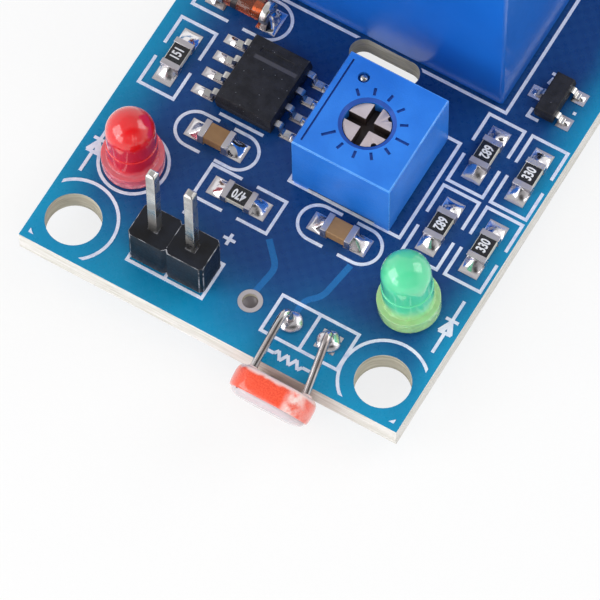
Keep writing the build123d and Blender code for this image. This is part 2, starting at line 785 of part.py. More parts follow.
terminal_width = terminal_ways * terminal_pitch + 2 * terminal_side
terminal_left = terminal_x - terminal_width / 2
wire_way_width = clamp_width - 2 * clamp_side
wire_way_bottom = clamp_bottom + clamp_sheet
wire_way_height = clamp_travel + 2 * clamp_clearance
funnel = 0.4
head_way = screw_head_diameter / 2 + clamp_clearance
with BuildPart() as terminal_housing:
    with BuildSketch(upright(terminal_left, terminal_front, 0, 90)):
        with BuildLine():
            Polyline(
                (0, 0),
                (terminal_depth, 0),
                (terminal_depth, wire_way_bottom + wire_way_height + 2 * funnel),
                (terminal_depth - funnel, bar_top + 2 * funnel),
                (clamp_y - terminal_front + head_way + terminal_wall, terminal_height),
                (clamp_y - terminal_front - head_way - terminal_wall, terminal_height),
                (0, terminal_height - 2 * terminal_wall),
                close=True,
            )
        make_face()
    extrude(amount=terminal_width)
    with BuildSketch(deck(height=terminal_floor)):
        for way_x in way_places:
            with Locations((way_x, terminal_front + (cell_back + cell_front) / 2)):
                Rectangle(clamp_width + 2 * clamp_clearance, cell_front - cell_back)
    extrude(amount=cell_top - terminal_floor, mode=Mode.SUBTRACT)
    with BuildSketch(deck(height=cell_top)):
        for way_x in way_places:
            with Locations((way_x, clamp_y)):
                Circle(screw_diameter / 2 + 2 * screw_clearance)
    extrude(amount=terminal_ledge, mode=Mode.SUBTRACT)
    with BuildSketch(deck(height=cell_top + terminal_ledge)):
        for way_x in way_places:
            with Locations((way_x, clamp_y)):
                Circle(head_way)
    extrude(amount=terminal_height, mode=Mode.SUBTRACT)
    with BuildSketch(upright(0, terminal_front + cell_front, wire_way_bottom + wire_way_height / 2, 180)):
        for way_x in way_places:
            with Locations((-way_x, 0)):
                Rectangle(wire_way_width, wire_way_height)
    extrude(amount=terminal_face, mode=Mode.SUBTRACT)
    with BuildSketch(
        upright(0, terminal_front + terminal_depth, wire_way_bottom + wire_way_height / 2, 180)
    ):
        for way_x in way_places:
            with Locations((-way_x, 0)):
                Rectangle(wire_way_width + 2 * funnel, wire_way_height + 2 * funnel)
    extrude(amount=-funnel, taper=44, mode=Mode.SUBTRACT)
    add(terminal_contacts.part, mode=Mode.SUBTRACT)
finish(terminal_housing, "terminal_housing")

for way, way_x in enumerate(way_places, start=1):
    with BuildPart() as terminal_clamp:
        with BuildSketch(deck(way_x, clamp_y, clamp_bottom)):
            Rectangle(clamp_width, clamp_length)
        extrude(amount=clamp_top - clamp_bottom)
        with BuildSketch(deck(way_x, clamp_y, clamp_bottom + clamp_sheet)):
            Rectangle(clamp_width - 2 * clamp_side, clamp_length)
        extrude(amount=clamp_top - clamp_bottom - 2 * clamp_sheet, mode=Mode.SUBTRACT)
        with BuildSketch(deck(way_x, clamp_y, clamp_top)):
            Circle(screw_diameter / 2 + screw_clearance)
        extrude(amount=-clamp_sheet, mode=Mode.SUBTRACT)
    finish(terminal_clamp, f"terminal_clamp_{way}")

    with BuildPart() as terminal_screw:
        with BuildSketch(deck(way_x, clamp_y, bar_top + screw_clearance)):
            Circle(screw_diameter / 2)
        extrude(amount=screw_seat - bar_top - screw_clearance)
        with BuildSketch(deck(way_x, clamp_y, screw_seat)):
            Circle(screw_head_diameter / 2)
        extrude(amount=screw_head_height)
        chamfer(terminal_screw.faces().sort_by(Axis.Z)[-1].edges(), screw_slot / 4)
        with BuildSketch(deck(way_x, clamp_y, screw_seat + screw_head_height)):
            Rectangle(screw_head_diameter, screw_slot)
        extrude(amount=-screw_slot, mode=Mode.SUBTRACT)
    finish(terminal_screw, f"terminal_screw_{way}")

# Tinned lands on the top face, as place, size and turn
land_shift = chip_land_reach - chip_land_length / 2
comparator_land_length = 1.5
comparator_land_shift = comparator_span / 2 + 0.75 - comparator_land_length / 2
comparator_land_width = 0.62
transistor_land = 0.85
diode_land_length = 1.3
diode_land_width = 1.7
sensor_land = 1.3
chip_lands = [
    (chip_x, chip_y, side * land_shift, chip_land_length, chip_width, chip_turn)
    for _, chip_x, chip_y, chip_turn, _ in chips
    for side in (-1, 1)
]
comparator_lands = [
    (comparator_x, row_y, side * comparator_land_shift, comparator_land_length, comparator_land_width, 0.0)
    for row_y in comparator_rows_y
    for side in (-1, 1)
]
transistor_lands = [
    (transistor_x, lead_y, transistor_span / 2, transistor_land, transistor_land, turn)
    for lead_y, turn in transistor_wings
]
diode_lands = [
    (diode_x, diode_y, side * diode_length / 2, diode_land_length, diode_land_width, 0.0)
    for side in (-1, 1)
]
with BuildPart() as surface_lands:
    with BuildSketch(deck()):
        for land_x, land_y, shift, length, width, turn in (
            chip_lands + comparator_lands + transistor_lands + diode_lands
        ):
            with Locations(Location((land_x, land_y, 0), (0, 0, turn))):
                with Locations((shift, 0)):
                    Rectangle(length, width)
        with Locations((test_hole_x, front_row_y)):
            Circle(test_land_diameter / 2)
            Circle(test_hole_diameter / 2, mode=Mode.SUBTRACT)
        with Locations(sensor_places[1]):
            Rectangle(sensor_land, sensor_land)
        with Locations(sensor_places[0]):
            Circle(sensor_land / 2)
        with Locations(sensor_places):
            RegularPolygon(sensor_lead / 2 + solder_gap, land_sides, mode=Mode.SUBTRACT)
    extrude(amount=land_thickness)
finish(surface_lands, "surface_lands")


def solder_wedge(run, rise, width):
    """A hollow-faced fillet of solder from an end face down to the land, towards +X."""
    with BuildPart() as wedge:
        with BuildSketch(Plane.XZ):
            with BuildLine():
                Polyline((run, land_thickness), (0, land_thickness), (0, land_thickness + rise))
                SagittaArc((0, land_thickness + rise), (run, land_thickness), -min(run, rise) / 5)
            make_face()
        extrude(amount=width / 2, both=True)
    return wedge.part


solder_margin = 0.08
chip_run = chip_land_reach - chip_length / 2 - solder_margin
resistor_wedge = solder_wedge(chip_run, 0.9 * resistor_height, chip_width - solder_margin)
capacitor_wedge = solder_wedge(chip_run, 0.75 * capacitor_height, chip_width - solder_margin)
toe_run = comparator_land_shift + comparator_land_length / 2 - comparator_span / 2 - solder_margin
comparator_wedge = solder_wedge(toe_run, gull_strip, comparator_land_width - solder_margin)
transistor_wedge = solder_wedge(transistor_land / 2 - solder_margin, transistor_strip, gull_width)
diode_wedge = solder_wedge(diode_land_length / 2 - solder_margin, diode_diameter / 2, diode_diameter)


def ends_of(x, y, turn, reach):
    """Locations of the two ends of a chip, each facing outwards."""
    ahead = (reach * cos(radians(turn)), reach * sin(radians(turn)))
    return [at(x + ahead[0], y + ahead[1], 0, turn), at(x - ahead[0], y - ahead[1], 0, turn + 180)]


with BuildPart() as surface_solder:
    for _, chip_x, chip_y, chip_turn in resistors:
        with Locations(ends_of(chip_x, chip_y, chip_turn, chip_length / 2)):
            add(resistor_wedge)
    for _, chip_x, chip_y, chip_turn in capacitors:
        with Locations(ends_of(chip_x, chip_y, chip_turn, chip_length / 2)):
            add(capacitor_wedge)
    for row_y in comparator_rows_y:
        with Locations(ends_of(comparator_x, row_y, 0, comparator_span / 2)):
            add(comparator_wedge)
    for lead_y, turn in transistor_wings:
        with Locations(ends_of(transistor_x, lead_y, turn, transistor_span / 2)[0]):
            add(transistor_wedge)
    with Locations(ends_of(diode_x, diode_y, 0, diode_length / 2)):
        add(diode_wedge)
finish(surface_solder, "surface_solder")

# Domes of solder round the sensor's leads, on the board's top
dome_height = 0.45
dome_taper = 30.0
with BuildPart() as sensor_solder:
    for lead_x, lead_y in sensor_places:
        with BuildSketch(deck(lead_x, lead_y, land_thickness)):
            RegularPolygon(sensor_land / 2 - solder_margin, wire_sides)
        extrude(amount=dome_height, taper=dome_taper)
    add(sensor_leads.part, mode=Mode.SUBTRACT)
finish(sensor_solder, "sensor_solder")

# Underside: a land round each bore, and solder that fills the bore and climbs down the lead
with BuildPart() as underside_lands:
    with BuildSketch(deck(height=-board_thickness)):
        for place, bore in bores:
            with Locations(place):
                RegularPolygon(bore / 2 + solder_foot, land_sides)
                RegularPolygon(bore / 2, land_sides, mode=Mode.SUBTRACT)
    extrude(amount=-land_thickness)
finish(underside_lands, "underside_lands")

with BuildPart() as underside_solder:
    for place, bore in bores:
        with BuildSketch(deck(*place)):
            RegularPolygon(bore / 2, land_sides)
        extrude(amount=-board_thickness - land_thickness)
        with BuildSketch(deck(*place, -board_thickness - land_thickness)):
            RegularPolygon(bore / 2 + solder_foot - solder_margin, land_sides)
        extrude(amount=-solder_height, taper=solder_taper)
    for leads in (header_pins, sensor_leads, trimmer_pins, relay_pins, terminal_contacts):
        add(leads.part, mode=Mode.SUBTRACT)
    with BuildSketch(deck()):
        with Locations(lamp_places):
            Rectangle(lamp_lead, lamp_lead)
    extrude(amount=-board_thickness - stub_length, mode=Mode.SUBTRACT)
finish(underside_solder, "underside_solder")


def stroke(x0, y0, x1, y1):
    """One straight line of the print."""
    with Locations(((x0 + x1) / 2, (y0 + y1) / 2)):
        Rectangle(abs(x1 - x0) + print_line, abs(y1 - y0) + print_line)


def frame(x0, y0, x1, y1):
    """A printed rectangle."""
    stroke(x0, y0, x1, y0)
    stroke(x0, y1, x1, y1)
    stroke(x0, y0, x0, y1)
    stroke(x1, y0, x1, y1)


def ring(radius):
    """A printed circle."""
    Circle(radius + print_line / 2)
    Circle(radius - print_line / 2, mode=Mode.SUBTRACT)


def half_outline(reach, half, rounded):
    """Half of the outline round a two-ended part, towards +X: a square bracket or a round one."""
    with BuildSketch() as bracket:
        with BuildLine() as path:
            if rounded:
                Line((outline_gap / 2, half), (reach - half, half))
                RadiusArc((reach - half, half), (reach - half, -half), half)
                Line((reach - half, -half), (outline_gap / 2, -half))
            else:
                Polyline((outline_gap / 2, half), (reach, half), (reach, -half), (outline_gap / 2, -half))
        trace(path.line, line_width=print_line)
    return bracket.sketch


def outline_places(x, y, turn):
    """Where the two halves of such an outline go, each facing outwards."""
    return [Location((x, y, 0), (0, 0, turn)), Location((x, y, 0), (0, 0, turn + 180))]


outline_half = chip_width / 2 + outline_clearance
resistor_outline = half_outline(chip_land_reach + outline_clearance, outline_half, rounded=False)
capacitor_outline = half_outline(chip_land_reach + 1.3 * outline_clearance, outline_half, rounded=True)
diode_reach = diode_length / 2 + diode_land_length / 2 + outline_clearance
diode_half = diode_diameter / 2 + outline_clearance
diode_outlines = [half_outline(diode_reach, diode_half, rounded) for rounded in (True, False)]

# Rings round the mounting holes, cut off near the board's edges
with BuildSketch() as hole_rings:
    with Locations((board_width / 2, board_length / 2)):
        with GridLocations(board_width - 2 * hole_inset_x, board_length - 2 * hole_inset_y, 2, 2):
            ring(hole_diameter / 2 + hole_ring_gap)
    with Locations((board_width / 2, board_length / 2)):
        Rectangle(
            board_width - 2 * print_margin, board_length - 2 * print_margin, mode=Mode.INTERSECT
        )

# The board's white print: outlines round the parts, with their wording left bare
header_frame_x = header_pins_count * header_pitch / 2
header_frame_y = header_pitch / 2
sensor_frame_x = sensor_hole_pitch / 2 + sensor_land
sensor_frame_y = 1.3
relay_frame_x = relay_width / 2 + 0.42
relay_frame_front = relay_front - 0.28
relay_frame_back = relay_back + 0.3
slot_clearance = 0.15
comparator_mark_x = 1.4
comparator_mark_y = comparator_y - comparator_length / 2 - 0.18
transistor_mark_x = transistor_x - transistor_width / 2 - 0.3
transistor_mark_y = transistor_length / 2 + 0.15
with BuildPart() as board_print:
    with BuildSketch(deck()):
        add(hole_rings.sketch)
        frame(
            header_x - header_frame_x,
            front_row_y - header_frame_y,
            header_x + header_frame_x,
            front_row_y + header_frame_y,
        )
        stroke(header_x, front_row_y - header_frame_y, header_x, front_row_y - header_frame_y + 0.3)
        frame(
            sensor_x - sensor_frame_x,
            front_row_y - sensor_frame_y,
            sensor_x + sensor_frame_x,
            front_row_y + sensor_frame_y,
        )
        stroke(sensor_x, front_row_y - sensor_frame_y, sensor_x, front_row_y + sensor_frame_y)
        with Locations((lamp_red_x, lamp_row_y)):
            ring(lamp_flange_diameter / 2 + print_line)
        for _, chip_x, chip_y, chip_turn in resistors:
            with Locations(outline_places(chip_x, chip_y, chip_turn)):
                add(resistor_outline)
        for _, chip_x, chip_y, chip_turn in capacitors:
            with Locations(outline_places(chip_x, chip_y, chip_turn)):
                add(capacitor_outline)
        for place, outline in zip(outline_places(diode_x, diode_y, 0), diode_outlines):
            with Locations(place):
                add(outline)
        frame(
            trimmer_x - trimmer_width / 2 - print_line,
            trimmer_y - trimmer_depth / 2 + trimmer_edge / 4,
            trimmer_x + trimmer_width / 2 + 0.7,
            trimmer_y + trimmer_depth / 2 + print_line,
        )
        stroke(
            comparator_x - comparator_mark_x,
            comparator_mark_y,
            comparator_x + comparator_mark_x,
            comparator_mark_y,
        )
        for side in (-1, 1):
            stroke(
                transistor_mark_x,
                transistor_y + side * transistor_mark_y,
                transistor_x - transistor_width / 4,
                transistor_y + side * transistor_mark_y,
            )
        frame(relay_x - relay_frame_x, relay_frame_front, relay_x + relay_frame_x, relay_frame_back)
        with Locations((slot_x, slot_y)):
            SlotOverall(
                slot_length + 2 * slot_clearance, slot_width + 2 * slot_clearance, mode=Mode.SUBTRACT
            )
        with Locations((terminal_x, terminal_front + terminal_depth / 2)):
            Rectangle(terminal_width + 2 * solder_gap, terminal_depth, mode=Mode.SUBTRACT)
    extrude(amount=print_thickness)
finish(board_print, "board_print")
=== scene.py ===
"""The looks of the light sensor module: finishes, solder, lenses, leads and print round its frame."""

import bmesh
import bpy
import numpy as np
from bpy.props import FloatProperty, FloatVectorProperty, IntProperty, PointerProperty
from mathutils import Matrix, Vector


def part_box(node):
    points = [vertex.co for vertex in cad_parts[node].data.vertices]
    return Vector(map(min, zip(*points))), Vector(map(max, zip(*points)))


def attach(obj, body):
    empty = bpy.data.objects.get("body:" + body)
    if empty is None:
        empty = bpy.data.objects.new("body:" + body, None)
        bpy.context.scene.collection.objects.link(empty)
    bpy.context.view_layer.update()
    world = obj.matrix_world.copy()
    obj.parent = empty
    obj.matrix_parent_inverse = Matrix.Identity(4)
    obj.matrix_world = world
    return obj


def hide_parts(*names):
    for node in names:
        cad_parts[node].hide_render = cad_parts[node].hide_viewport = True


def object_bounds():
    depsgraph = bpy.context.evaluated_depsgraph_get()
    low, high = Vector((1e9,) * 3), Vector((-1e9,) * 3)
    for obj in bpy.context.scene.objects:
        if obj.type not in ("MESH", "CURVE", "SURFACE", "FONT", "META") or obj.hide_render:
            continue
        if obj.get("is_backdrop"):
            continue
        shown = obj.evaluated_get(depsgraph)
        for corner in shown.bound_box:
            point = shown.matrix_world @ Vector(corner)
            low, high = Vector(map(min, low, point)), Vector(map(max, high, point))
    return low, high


bl_info = {
    "name": "Light sensor module",
    "version": (1, 0, 0),
    "blender": (4, 5, 0),
    "location": "View3D > Sidebar > Light Module",
    "description": "Builds the looks of a light sensor relay module round its packed frame",
    "category": "Object",
}

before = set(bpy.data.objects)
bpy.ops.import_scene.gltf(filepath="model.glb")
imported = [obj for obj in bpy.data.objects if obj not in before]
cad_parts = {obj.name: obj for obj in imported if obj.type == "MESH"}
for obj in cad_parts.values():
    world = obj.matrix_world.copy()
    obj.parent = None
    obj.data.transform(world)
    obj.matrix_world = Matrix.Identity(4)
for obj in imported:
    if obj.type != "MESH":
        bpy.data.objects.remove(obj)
cad_low, cad_high = (np.array(corner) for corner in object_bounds())

MM = 0.001
# The test hole, from the middle of the board
TEST_HOLE = np.array((1.2, -21.95)) * MM


def linear(hex_colour):
    """A colour written in sRGB hex, as linear values with an alpha of 1."""
    digits = hex_colour.lstrip("#")
    values = np.array([int(digits[i : i + 2], 16) for i in (0, 2, 4)]) / 255
    curve = np.where(values <= 0.04045, values / 12.92, ((values + 0.055) / 1.055) ** 2.4)
    return (*[float(value) for value in curve], 1.0)


def box_of(node):
    """The lowest and highest corners of a CAD node, as arrays."""
    return tuple(np.array(corner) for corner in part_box(node))


def middle_of(node):
    """The middle of a CAD node's box."""
    low, high = box_of(node)
    return (low + high) / 2


def solids_of(node):
    """Boxes of the separate solids in a CAD node, each with the way its high side leans.

    Corners that share a place get one number, and each triangle passes its smallest number on
    to its corners until nothing changes, which leaves one number for each solid."""
    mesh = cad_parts[node].data
    places = np.empty(len(mesh.vertices) * 3)
    mesh.vertices.foreach_get("co", places)
    corners = np.empty(len(mesh.loops), dtype=np.int64)
    mesh.loops.foreach_get("vertex_index", corners)
    places = places.reshape(-1, 3)
    _, first, shared = np.unique(np.round(places / 1e-6).astype(np.int64), axis=0,
                                 return_index=True, return_inverse=True)
    triangles = shared.reshape(-1)[corners].reshape(-1, 3)
    places = places[first]
    number = np.arange(len(places))
    while True:
        lowest = number[triangles].min(axis=1)
        passed = number.copy()
        for side in range(3):
            np.minimum.at(passed, triangles[:, side], lowest)
        if (passed == number).all():
            break
        number = passed
    found = []
    for mark in np.unique(number):
        own = places[number == mark]
        low, high = own.min(axis=0), own.max(axis=0)
        top = own[own[:, 2] > high[2] - 1e-5].mean(axis=0)
        found.append((low, high, top - (low + high) / 2))
    return found


# Shapes. Each is a pair: an array of points, and the quads that join them.


def grid(points, wrap_rows=False, wrap_columns=False):
    """A surface from points in rows and columns, with its first and last row or column joined if asked."""
    rows, columns = points.shape[:2]
    row = np.arange(rows if wrap_rows else rows - 1)[:, None]
    column = np.arange(columns if wrap_columns else columns - 1)[None, :]
    next_row, next_column = (row + 1) % rows, (column + 1) % columns
    quads = np.stack([
        row * columns + column,
        row * columns + next_column,
        next_row * columns + next_column,
        next_row * columns + column,
    ], axis=-1)
    return points.reshape(-1, 3), quads.reshape(-1, 4)


def placed(shape, origin, across=(1, 0, 0), up=(0, 0, 1)):
    """The same shape with its own x along across and its own z along up, moved to origin."""
    x, z = np.array(across, float), np.array(up, float)
    turn = np.stack([x, np.cross(z, x), z])
    return shape[0] @ turn + np.array(origin, float), shape[1]


def turned(profile, count=48, origin=(0, 0, 0), up=(0, 0, 1), across=(1, 0, 0)):
    """A surface of revolution: the profile's point (r, z) goes to (r cos a, r sin a, z) at each angle a."""
    angle = np.linspace(0, 2 * np.pi, count, endpoint=False)
    r, z = np.array(profile, float).T
    points = np.stack([
        r[:, None] * np.cos(angle), r[:, None] * np.sin(angle), np.repeat(z[:, None], count, 1),
    ], axis=-1)
    return placed(grid(points, wrap_columns=True), origin, across, up)


def rounded(profile, radius, steps=4):
    """A profile with each inner corner replaced by the curve A(1-t)^2 + 2Ct(1-t) + Bt^2.

    C is the corner, and A and B lie a radius before and after it, or at most 0.45 of a side."""
    points = np.array(profile, float)
    t = np.linspace(0, 1, steps + 1)[:, None]
    made = [points[:1]]
    for before, corner, after in zip(points[:-2], points[1:-1], points[2:]):
        to_a, to_b = before - corner, after - corner
        a = corner + to_a * min(0.45, radius / np.linalg.norm(to_a))
        b = corner + to_b * min(0.45, radius / np.linalg.norm(to_b))
        made.append(a * (1 - t) ** 2 + 2 * corner * t * (1 - t) + b * t**2)
    return np.vstack([*made, points[-1:]])


def carried(section, path, side, swell=None):
    """A section carried along a flat path: point (a, b) goes to path + a * side + b * normal.

    side is the direction square to the path's plane, and normal is side x tangent. swell scales
    the section at each point of the path. Both ends are closed by a section of size 0."""
    path, side, section = np.array(path, float), np.array(side, float), np.array(section, float)
    swell = np.ones(len(path)) if swell is None else np.array(swell, float)
    path = np.vstack([path[:1], path, path[-1:]])
    swell = np.concatenate([[0], swell, [0]])
    step = np.gradient(path[1:-1], axis=0)
    step = np.vstack([step[:1], step, step[-1:]])
    tangent = step / np.linalg.norm(step, axis=1)[:, None]
    normal = np.cross(side, tangent)
    points = path[:, None] + swell[:, None, None] * (
        section[None, :, :1] * side + section[None, :, 1:] * normal[:, None]
    )
    return grid(points, wrap_columns=True)


def round_section(radius, count=16):
    """The points of a circle."""
    angle = np.linspace(0, 2 * np.pi, count, endpoint=False)
    return radius * np.stack([np.cos(angle), np.sin(angle)], axis=-1)


def ripple(points, size, depth, seed=0.0):
    """How far hand-made solder strays from its form: a sum of three slanted waves of about that size."""
    p = points * (2 * np.pi / size)
    wave = (
        np.sin(p @ [0.9, 0.5, 0.3] + seed)
        + 0.7 * np.sin(p @ [-0.6, 1.1, 0.5] + 2.1 * seed)
        + 0.5 * np.sin(p @ [1.5, -0.8, 1.2] + 3.7 * seed)
    )
    return depth * wave / 2.2


def swollen(shape, size, depth, seed=0.0):
    """The shape with each point moved by the ripple away from the shape's middle."""
    points, quads = shape
    out = points - points.mean(axis=0)
    out = out / np.maximum(np.linalg.norm(out, axis=1, keepdims=True), 1e-9)
    return points + out * ripple(points, size, depth, seed)[:, None], quads


def joined(shapes):
    """Several shapes as one."""
    starts = np.cumsum([0] + [len(points) for points, _ in shapes[:-1]])
    return (
        np.vstack([points for points, _ in shapes]),
        np.vstack([quads + start for (_, quads), start in zip(shapes, starts)]),
    )


def piece(name, shapes, finish_key, node=None, crease=40.0):
    """Makes one object from shapes, with one finish, which may stand for a CAD node."""
    mesh = bpy.data.meshes.new(name)
    points, quads = joined(shapes)
    mesh.from_pydata(points, [], quads)
    settled(mesh, name, finish_key, node, crease)


def settled(mesh, name, finish_key, node, crease):
    """Cleans a new mesh and shows it as a piece that rides on the board.

    Doubles are merged, which closes poles and seams, faces are turned outwards, and edges
    sharper than the crease stay sharp."""
    mesh.materials.clear()
    mesh.materials.append(MATERIALS[finish_key])
    work = bmesh.new()
    work.from_mesh(mesh)
    bmesh.ops.remove_doubles(work, verts=work.verts, dist=1e-7)
    bmesh.ops.dissolve_degenerate(work, edges=work.edges, dist=1e-8)
    bmesh.ops.recalc_face_normals(work, faces=work.faces)
    work.to_mesh(mesh)
    work.free()
    mesh.shade_smooth()
    mesh.set_sharp_from_angle(angle=np.radians(crease))
    made = bpy.data.objects.new(name, mesh)
    bpy.context.scene.collection.objects.link(made)
    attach(made, "board")
    if node:
        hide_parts(node)


def dressed(node, finish_keys, width, segments=2, body="board", pick=None, lit_edge_finish=None, soften=None):
    """A merged copy of a CAD node with softened edges, which stands for it.

    Each sharp edge is softened by the width in millimetres, or by a third of the shortest sharp
    edge that meets it where that is less. pick(normals, middles) may give faces another of the
    finishes, and the softened edges may have a finish of their own, a painted highlight.
    soften(middles of the edges) may leave some edges sharp."""
    width = width * MM
    materials = [MATERIALS[key] for key in (*finish_keys.split(), *([lit_edge_finish] if lit_edge_finish else []))]
    mesh = bpy.data.meshes.new(node + "_dressed")
    work = bmesh.new()
    work.from_mesh(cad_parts[node].data)
    bmesh.ops.remove_doubles(work, verts=work.verts, dist=1e-7)
    bmesh.ops.dissolve_limit(work, angle_limit=np.radians(0.6), verts=work.verts, edges=work.edges)
    work.to_mesh(mesh)
    work.free()
    mesh.materials.clear()
    for made in materials:
        mesh.materials.append(made)
    if pick:
        normals = np.empty(len(mesh.polygons) * 3)
        middles = np.empty(len(mesh.polygons) * 3)
        mesh.polygons.foreach_get("normal", normals)
        mesh.polygons.foreach_get("center", middles)
        numbers = pick(normals.reshape(-1, 3), middles.reshape(-1, 3))
        mesh.polygons.foreach_set("material_index", numbers.astype(np.int32))
    places = np.empty(len(mesh.vertices) * 3)
    mesh.vertices.foreach_get("co", places)
    ends = np.empty(len(mesh.edges) * 2, dtype=np.int64)
    mesh.edges.foreach_get("vertices", ends)
    places, ends = places.reshape(-1, 3), ends.reshape(-1, 2)
    length = np.linalg.norm(places[ends[:, 0]] - places[ends[:, 1]], axis=1)
    mesh.set_sharp_from_angle(angle=np.radians(30))
    sharp = np.zeros(len(mesh.edges), dtype=bool)
    if "sharp_edge" in mesh.attributes:
        mesh.attributes["sharp_edge"].data.foreach_get("value", sharp)
    shortest = np.full(len(places), np.inf)
    for side in range(2):
        np.minimum.at(shortest, ends[sharp, side], length[sharp])
    near = np.minimum(shortest[ends[:, 0]], shortest[ends[:, 1]])
    weight = np.where(sharp, np.clip(near / 3 / width, 0, 1), 0)
    if soften:
        weight = np.where(soften((places[ends[:, 0]] + places[ends[:, 1]]) / 2), weight, 0)
    weights = mesh.attributes.new("bevel_weight_edge", "FLOAT", "EDGE")
    weights.data.foreach_set("value", weight.astype(np.float32))
    mesh.shade_smooth()
    made = bpy.data.objects.new(node + "_dressed", mesh)
    bpy.context.scene.collection.objects.link(made)
    edge = made.modifiers.new("Soft edges", "BEVEL")
    edge.limit_method = "WEIGHT"
    edge.width = width
    edge.segments = segments
    # The softened edges get the finish of their painted highlight
    if lit_edge_finish:
        edge.material = len(materials) - 1
    flat = made.modifiers.new("Flat faces", "WEIGHTED_NORMAL")
    flat.keep_sharp = True
    flat.weight = 100
    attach(made, body)
    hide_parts(node)
    return made


def lettering(name, text, size, middle, turn):
    """Plain characters as thin solid print, flat on a level face, turned about Z and narrowed."""
    narrow, bold, thickness = 0.66, 0.025 * MM, 0.012 * MM
    curve = bpy.data.curves.new(name, "FONT")
    curve.body = text
    curve.size = size
    curve.align_x = "CENTER"
    curve.align_y = "CENTER"
    curve.extrude = thickness / 2
    curve.offset = bold
    curve.resolution_u = 3
    source = bpy.data.objects.new(name + "_source", curve)
    bpy.context.scene.collection.objects.link(source)
    bpy.context.view_layer.update()
    mesh = bpy.data.meshes.new_from_object(source.evaluated_get(bpy.context.evaluated_depsgraph_get()))
    bpy.data.objects.remove(source)
    mesh.name = name
    place = Matrix.Translation(Vector(middle)) @ Matrix.Rotation(np.radians(turn), 4, "Z")
    mesh.transform(place @ Matrix.Diagonal((narrow, 1, 1, 1)))
    settled(mesh, name, "numbers", None, crease=30.0)


# Materials


def add(tree, kind, inputs=None, **settings):
    """Adds a shader node with its settings and gives its outputs.

    Each input is a constant, or an output that is linked to it."""
    node = tree.nodes.new("ShaderNode" + kind)
    for name, value in settings.items():
        setattr(node, name, value)
    for key, value in (inputs or {}).items():
        if isinstance(value, bpy.types.NodeSocket):
            tree.links.new(value, node.inputs[key])
        else:
            node.inputs[key].default_value = value
    return node.outputs


# A map range from inputs 1..2 to inputs 3..4 without a crease at its ends
SMOOTH = {"interpolation_type": "SMOOTHSTEP"}


def finish(name, **constants):
    """A material with its own shader and that shader's constants, and where the surface is, in metres."""
    made = bpy.data.materials.new(name)
    made.use_nodes = True
    tree = made.node_tree
    shader = tree.nodes["Principled BSDF"]
    for key, value in constants.items():
        shader.inputs[key.replace("_", " ")].default_value = value
    return made, tree, shader, add(tree, "TexCoord")["Object"]


def surfaced(tree, shader, share, first, second, height, depth, gloss=None, smooth=0, rough=0):
    """What nearly every finish varies over its surface.

    The colour runs from first to second with the share, the relief rises by up to depth metres
    with the height, and the roughness runs from smooth to rough with the gloss, if there is one."""
    colour = add(tree, "Mix", {0: share, 6: first, 7: second}, data_type="RGBA")[2]
    tree.links.new(colour, shader.inputs["Base Color"])
    if gloss:
        uneven = add(tree, "MapRange", {0: gloss, 1: 0, 2: 1, 3: smooth, 4: rough}, **SMOOTH)[0]
        tree.links.new(uneven, shader.inputs["Roughness"])
    raised = add(tree, "Bump", {"Height": height, "Distance": depth, "Strength": 1})[0]
    tree.links.new(raised, shader.inputs["Normal"])


def mottle(tree, place, size, detail=3.0, low=0.35, high=0.65):
    """Soft blotches about that size across, from 0 to 1."""
    noise = add(tree, "TexNoise", {"Vector": place, "Scale": 1 / size, "Detail": detail})
    return add(tree, "MapRange", {0: noise["Fac"], 1: low, 2: high})[0]


def along(tree, place, origin, way):
    """How far the surface lies from the origin along a direction, in metres."""
    offset = add(tree, "VectorMath", {0: place, 1: tuple(origin)}, operation="SUBTRACT")[0]
    return add(tree, "VectorMath", {0: offset, 1: tuple(way)}, operation="DOT_PRODUCT")["Value"]


def plain_finish(name, colour, other, roughness, grain, depth, blotch=None, **constants):
    """A moulded, fired or printed surface: two near colours in blotches, and a fine grain in relief.

    Grain, depth and blotch are in millimetres; a blotch is 12 grains across unless it is given."""
    made, tree, shader, place = finish(name, **constants)
    share = mottle(tree, place, (blotch or 12 * grain) * MM)
    fine = mottle(tree, place, grain * MM, 4.0)
    surfaced(tree, shader, share, linear(colour), linear(other), fine, depth * MM,
             fine, roughness * 0.85, roughness * 1.15)
    return made


def metal_finish(name, colour, other, roughness, grain, depth, wave=None):
    """A metal surface: two near colours, uneven gloss, and ripples or grain in relief.

    Grain, depth and wave are in millimetres; a wave is 6 grains across unless it is given."""
    made, tree, shader, place = finish(name, Metallic=1.0)
    share = mottle(tree, place, (wave or 6 * grain) * MM)
    fine = mottle(tree, place, grain * MM, 2.0)
    surfaced(tree, shader, share, linear(colour), linear(other), fine, depth * MM,
             share, roughness * 0.6, roughness * 1.5)
    return made


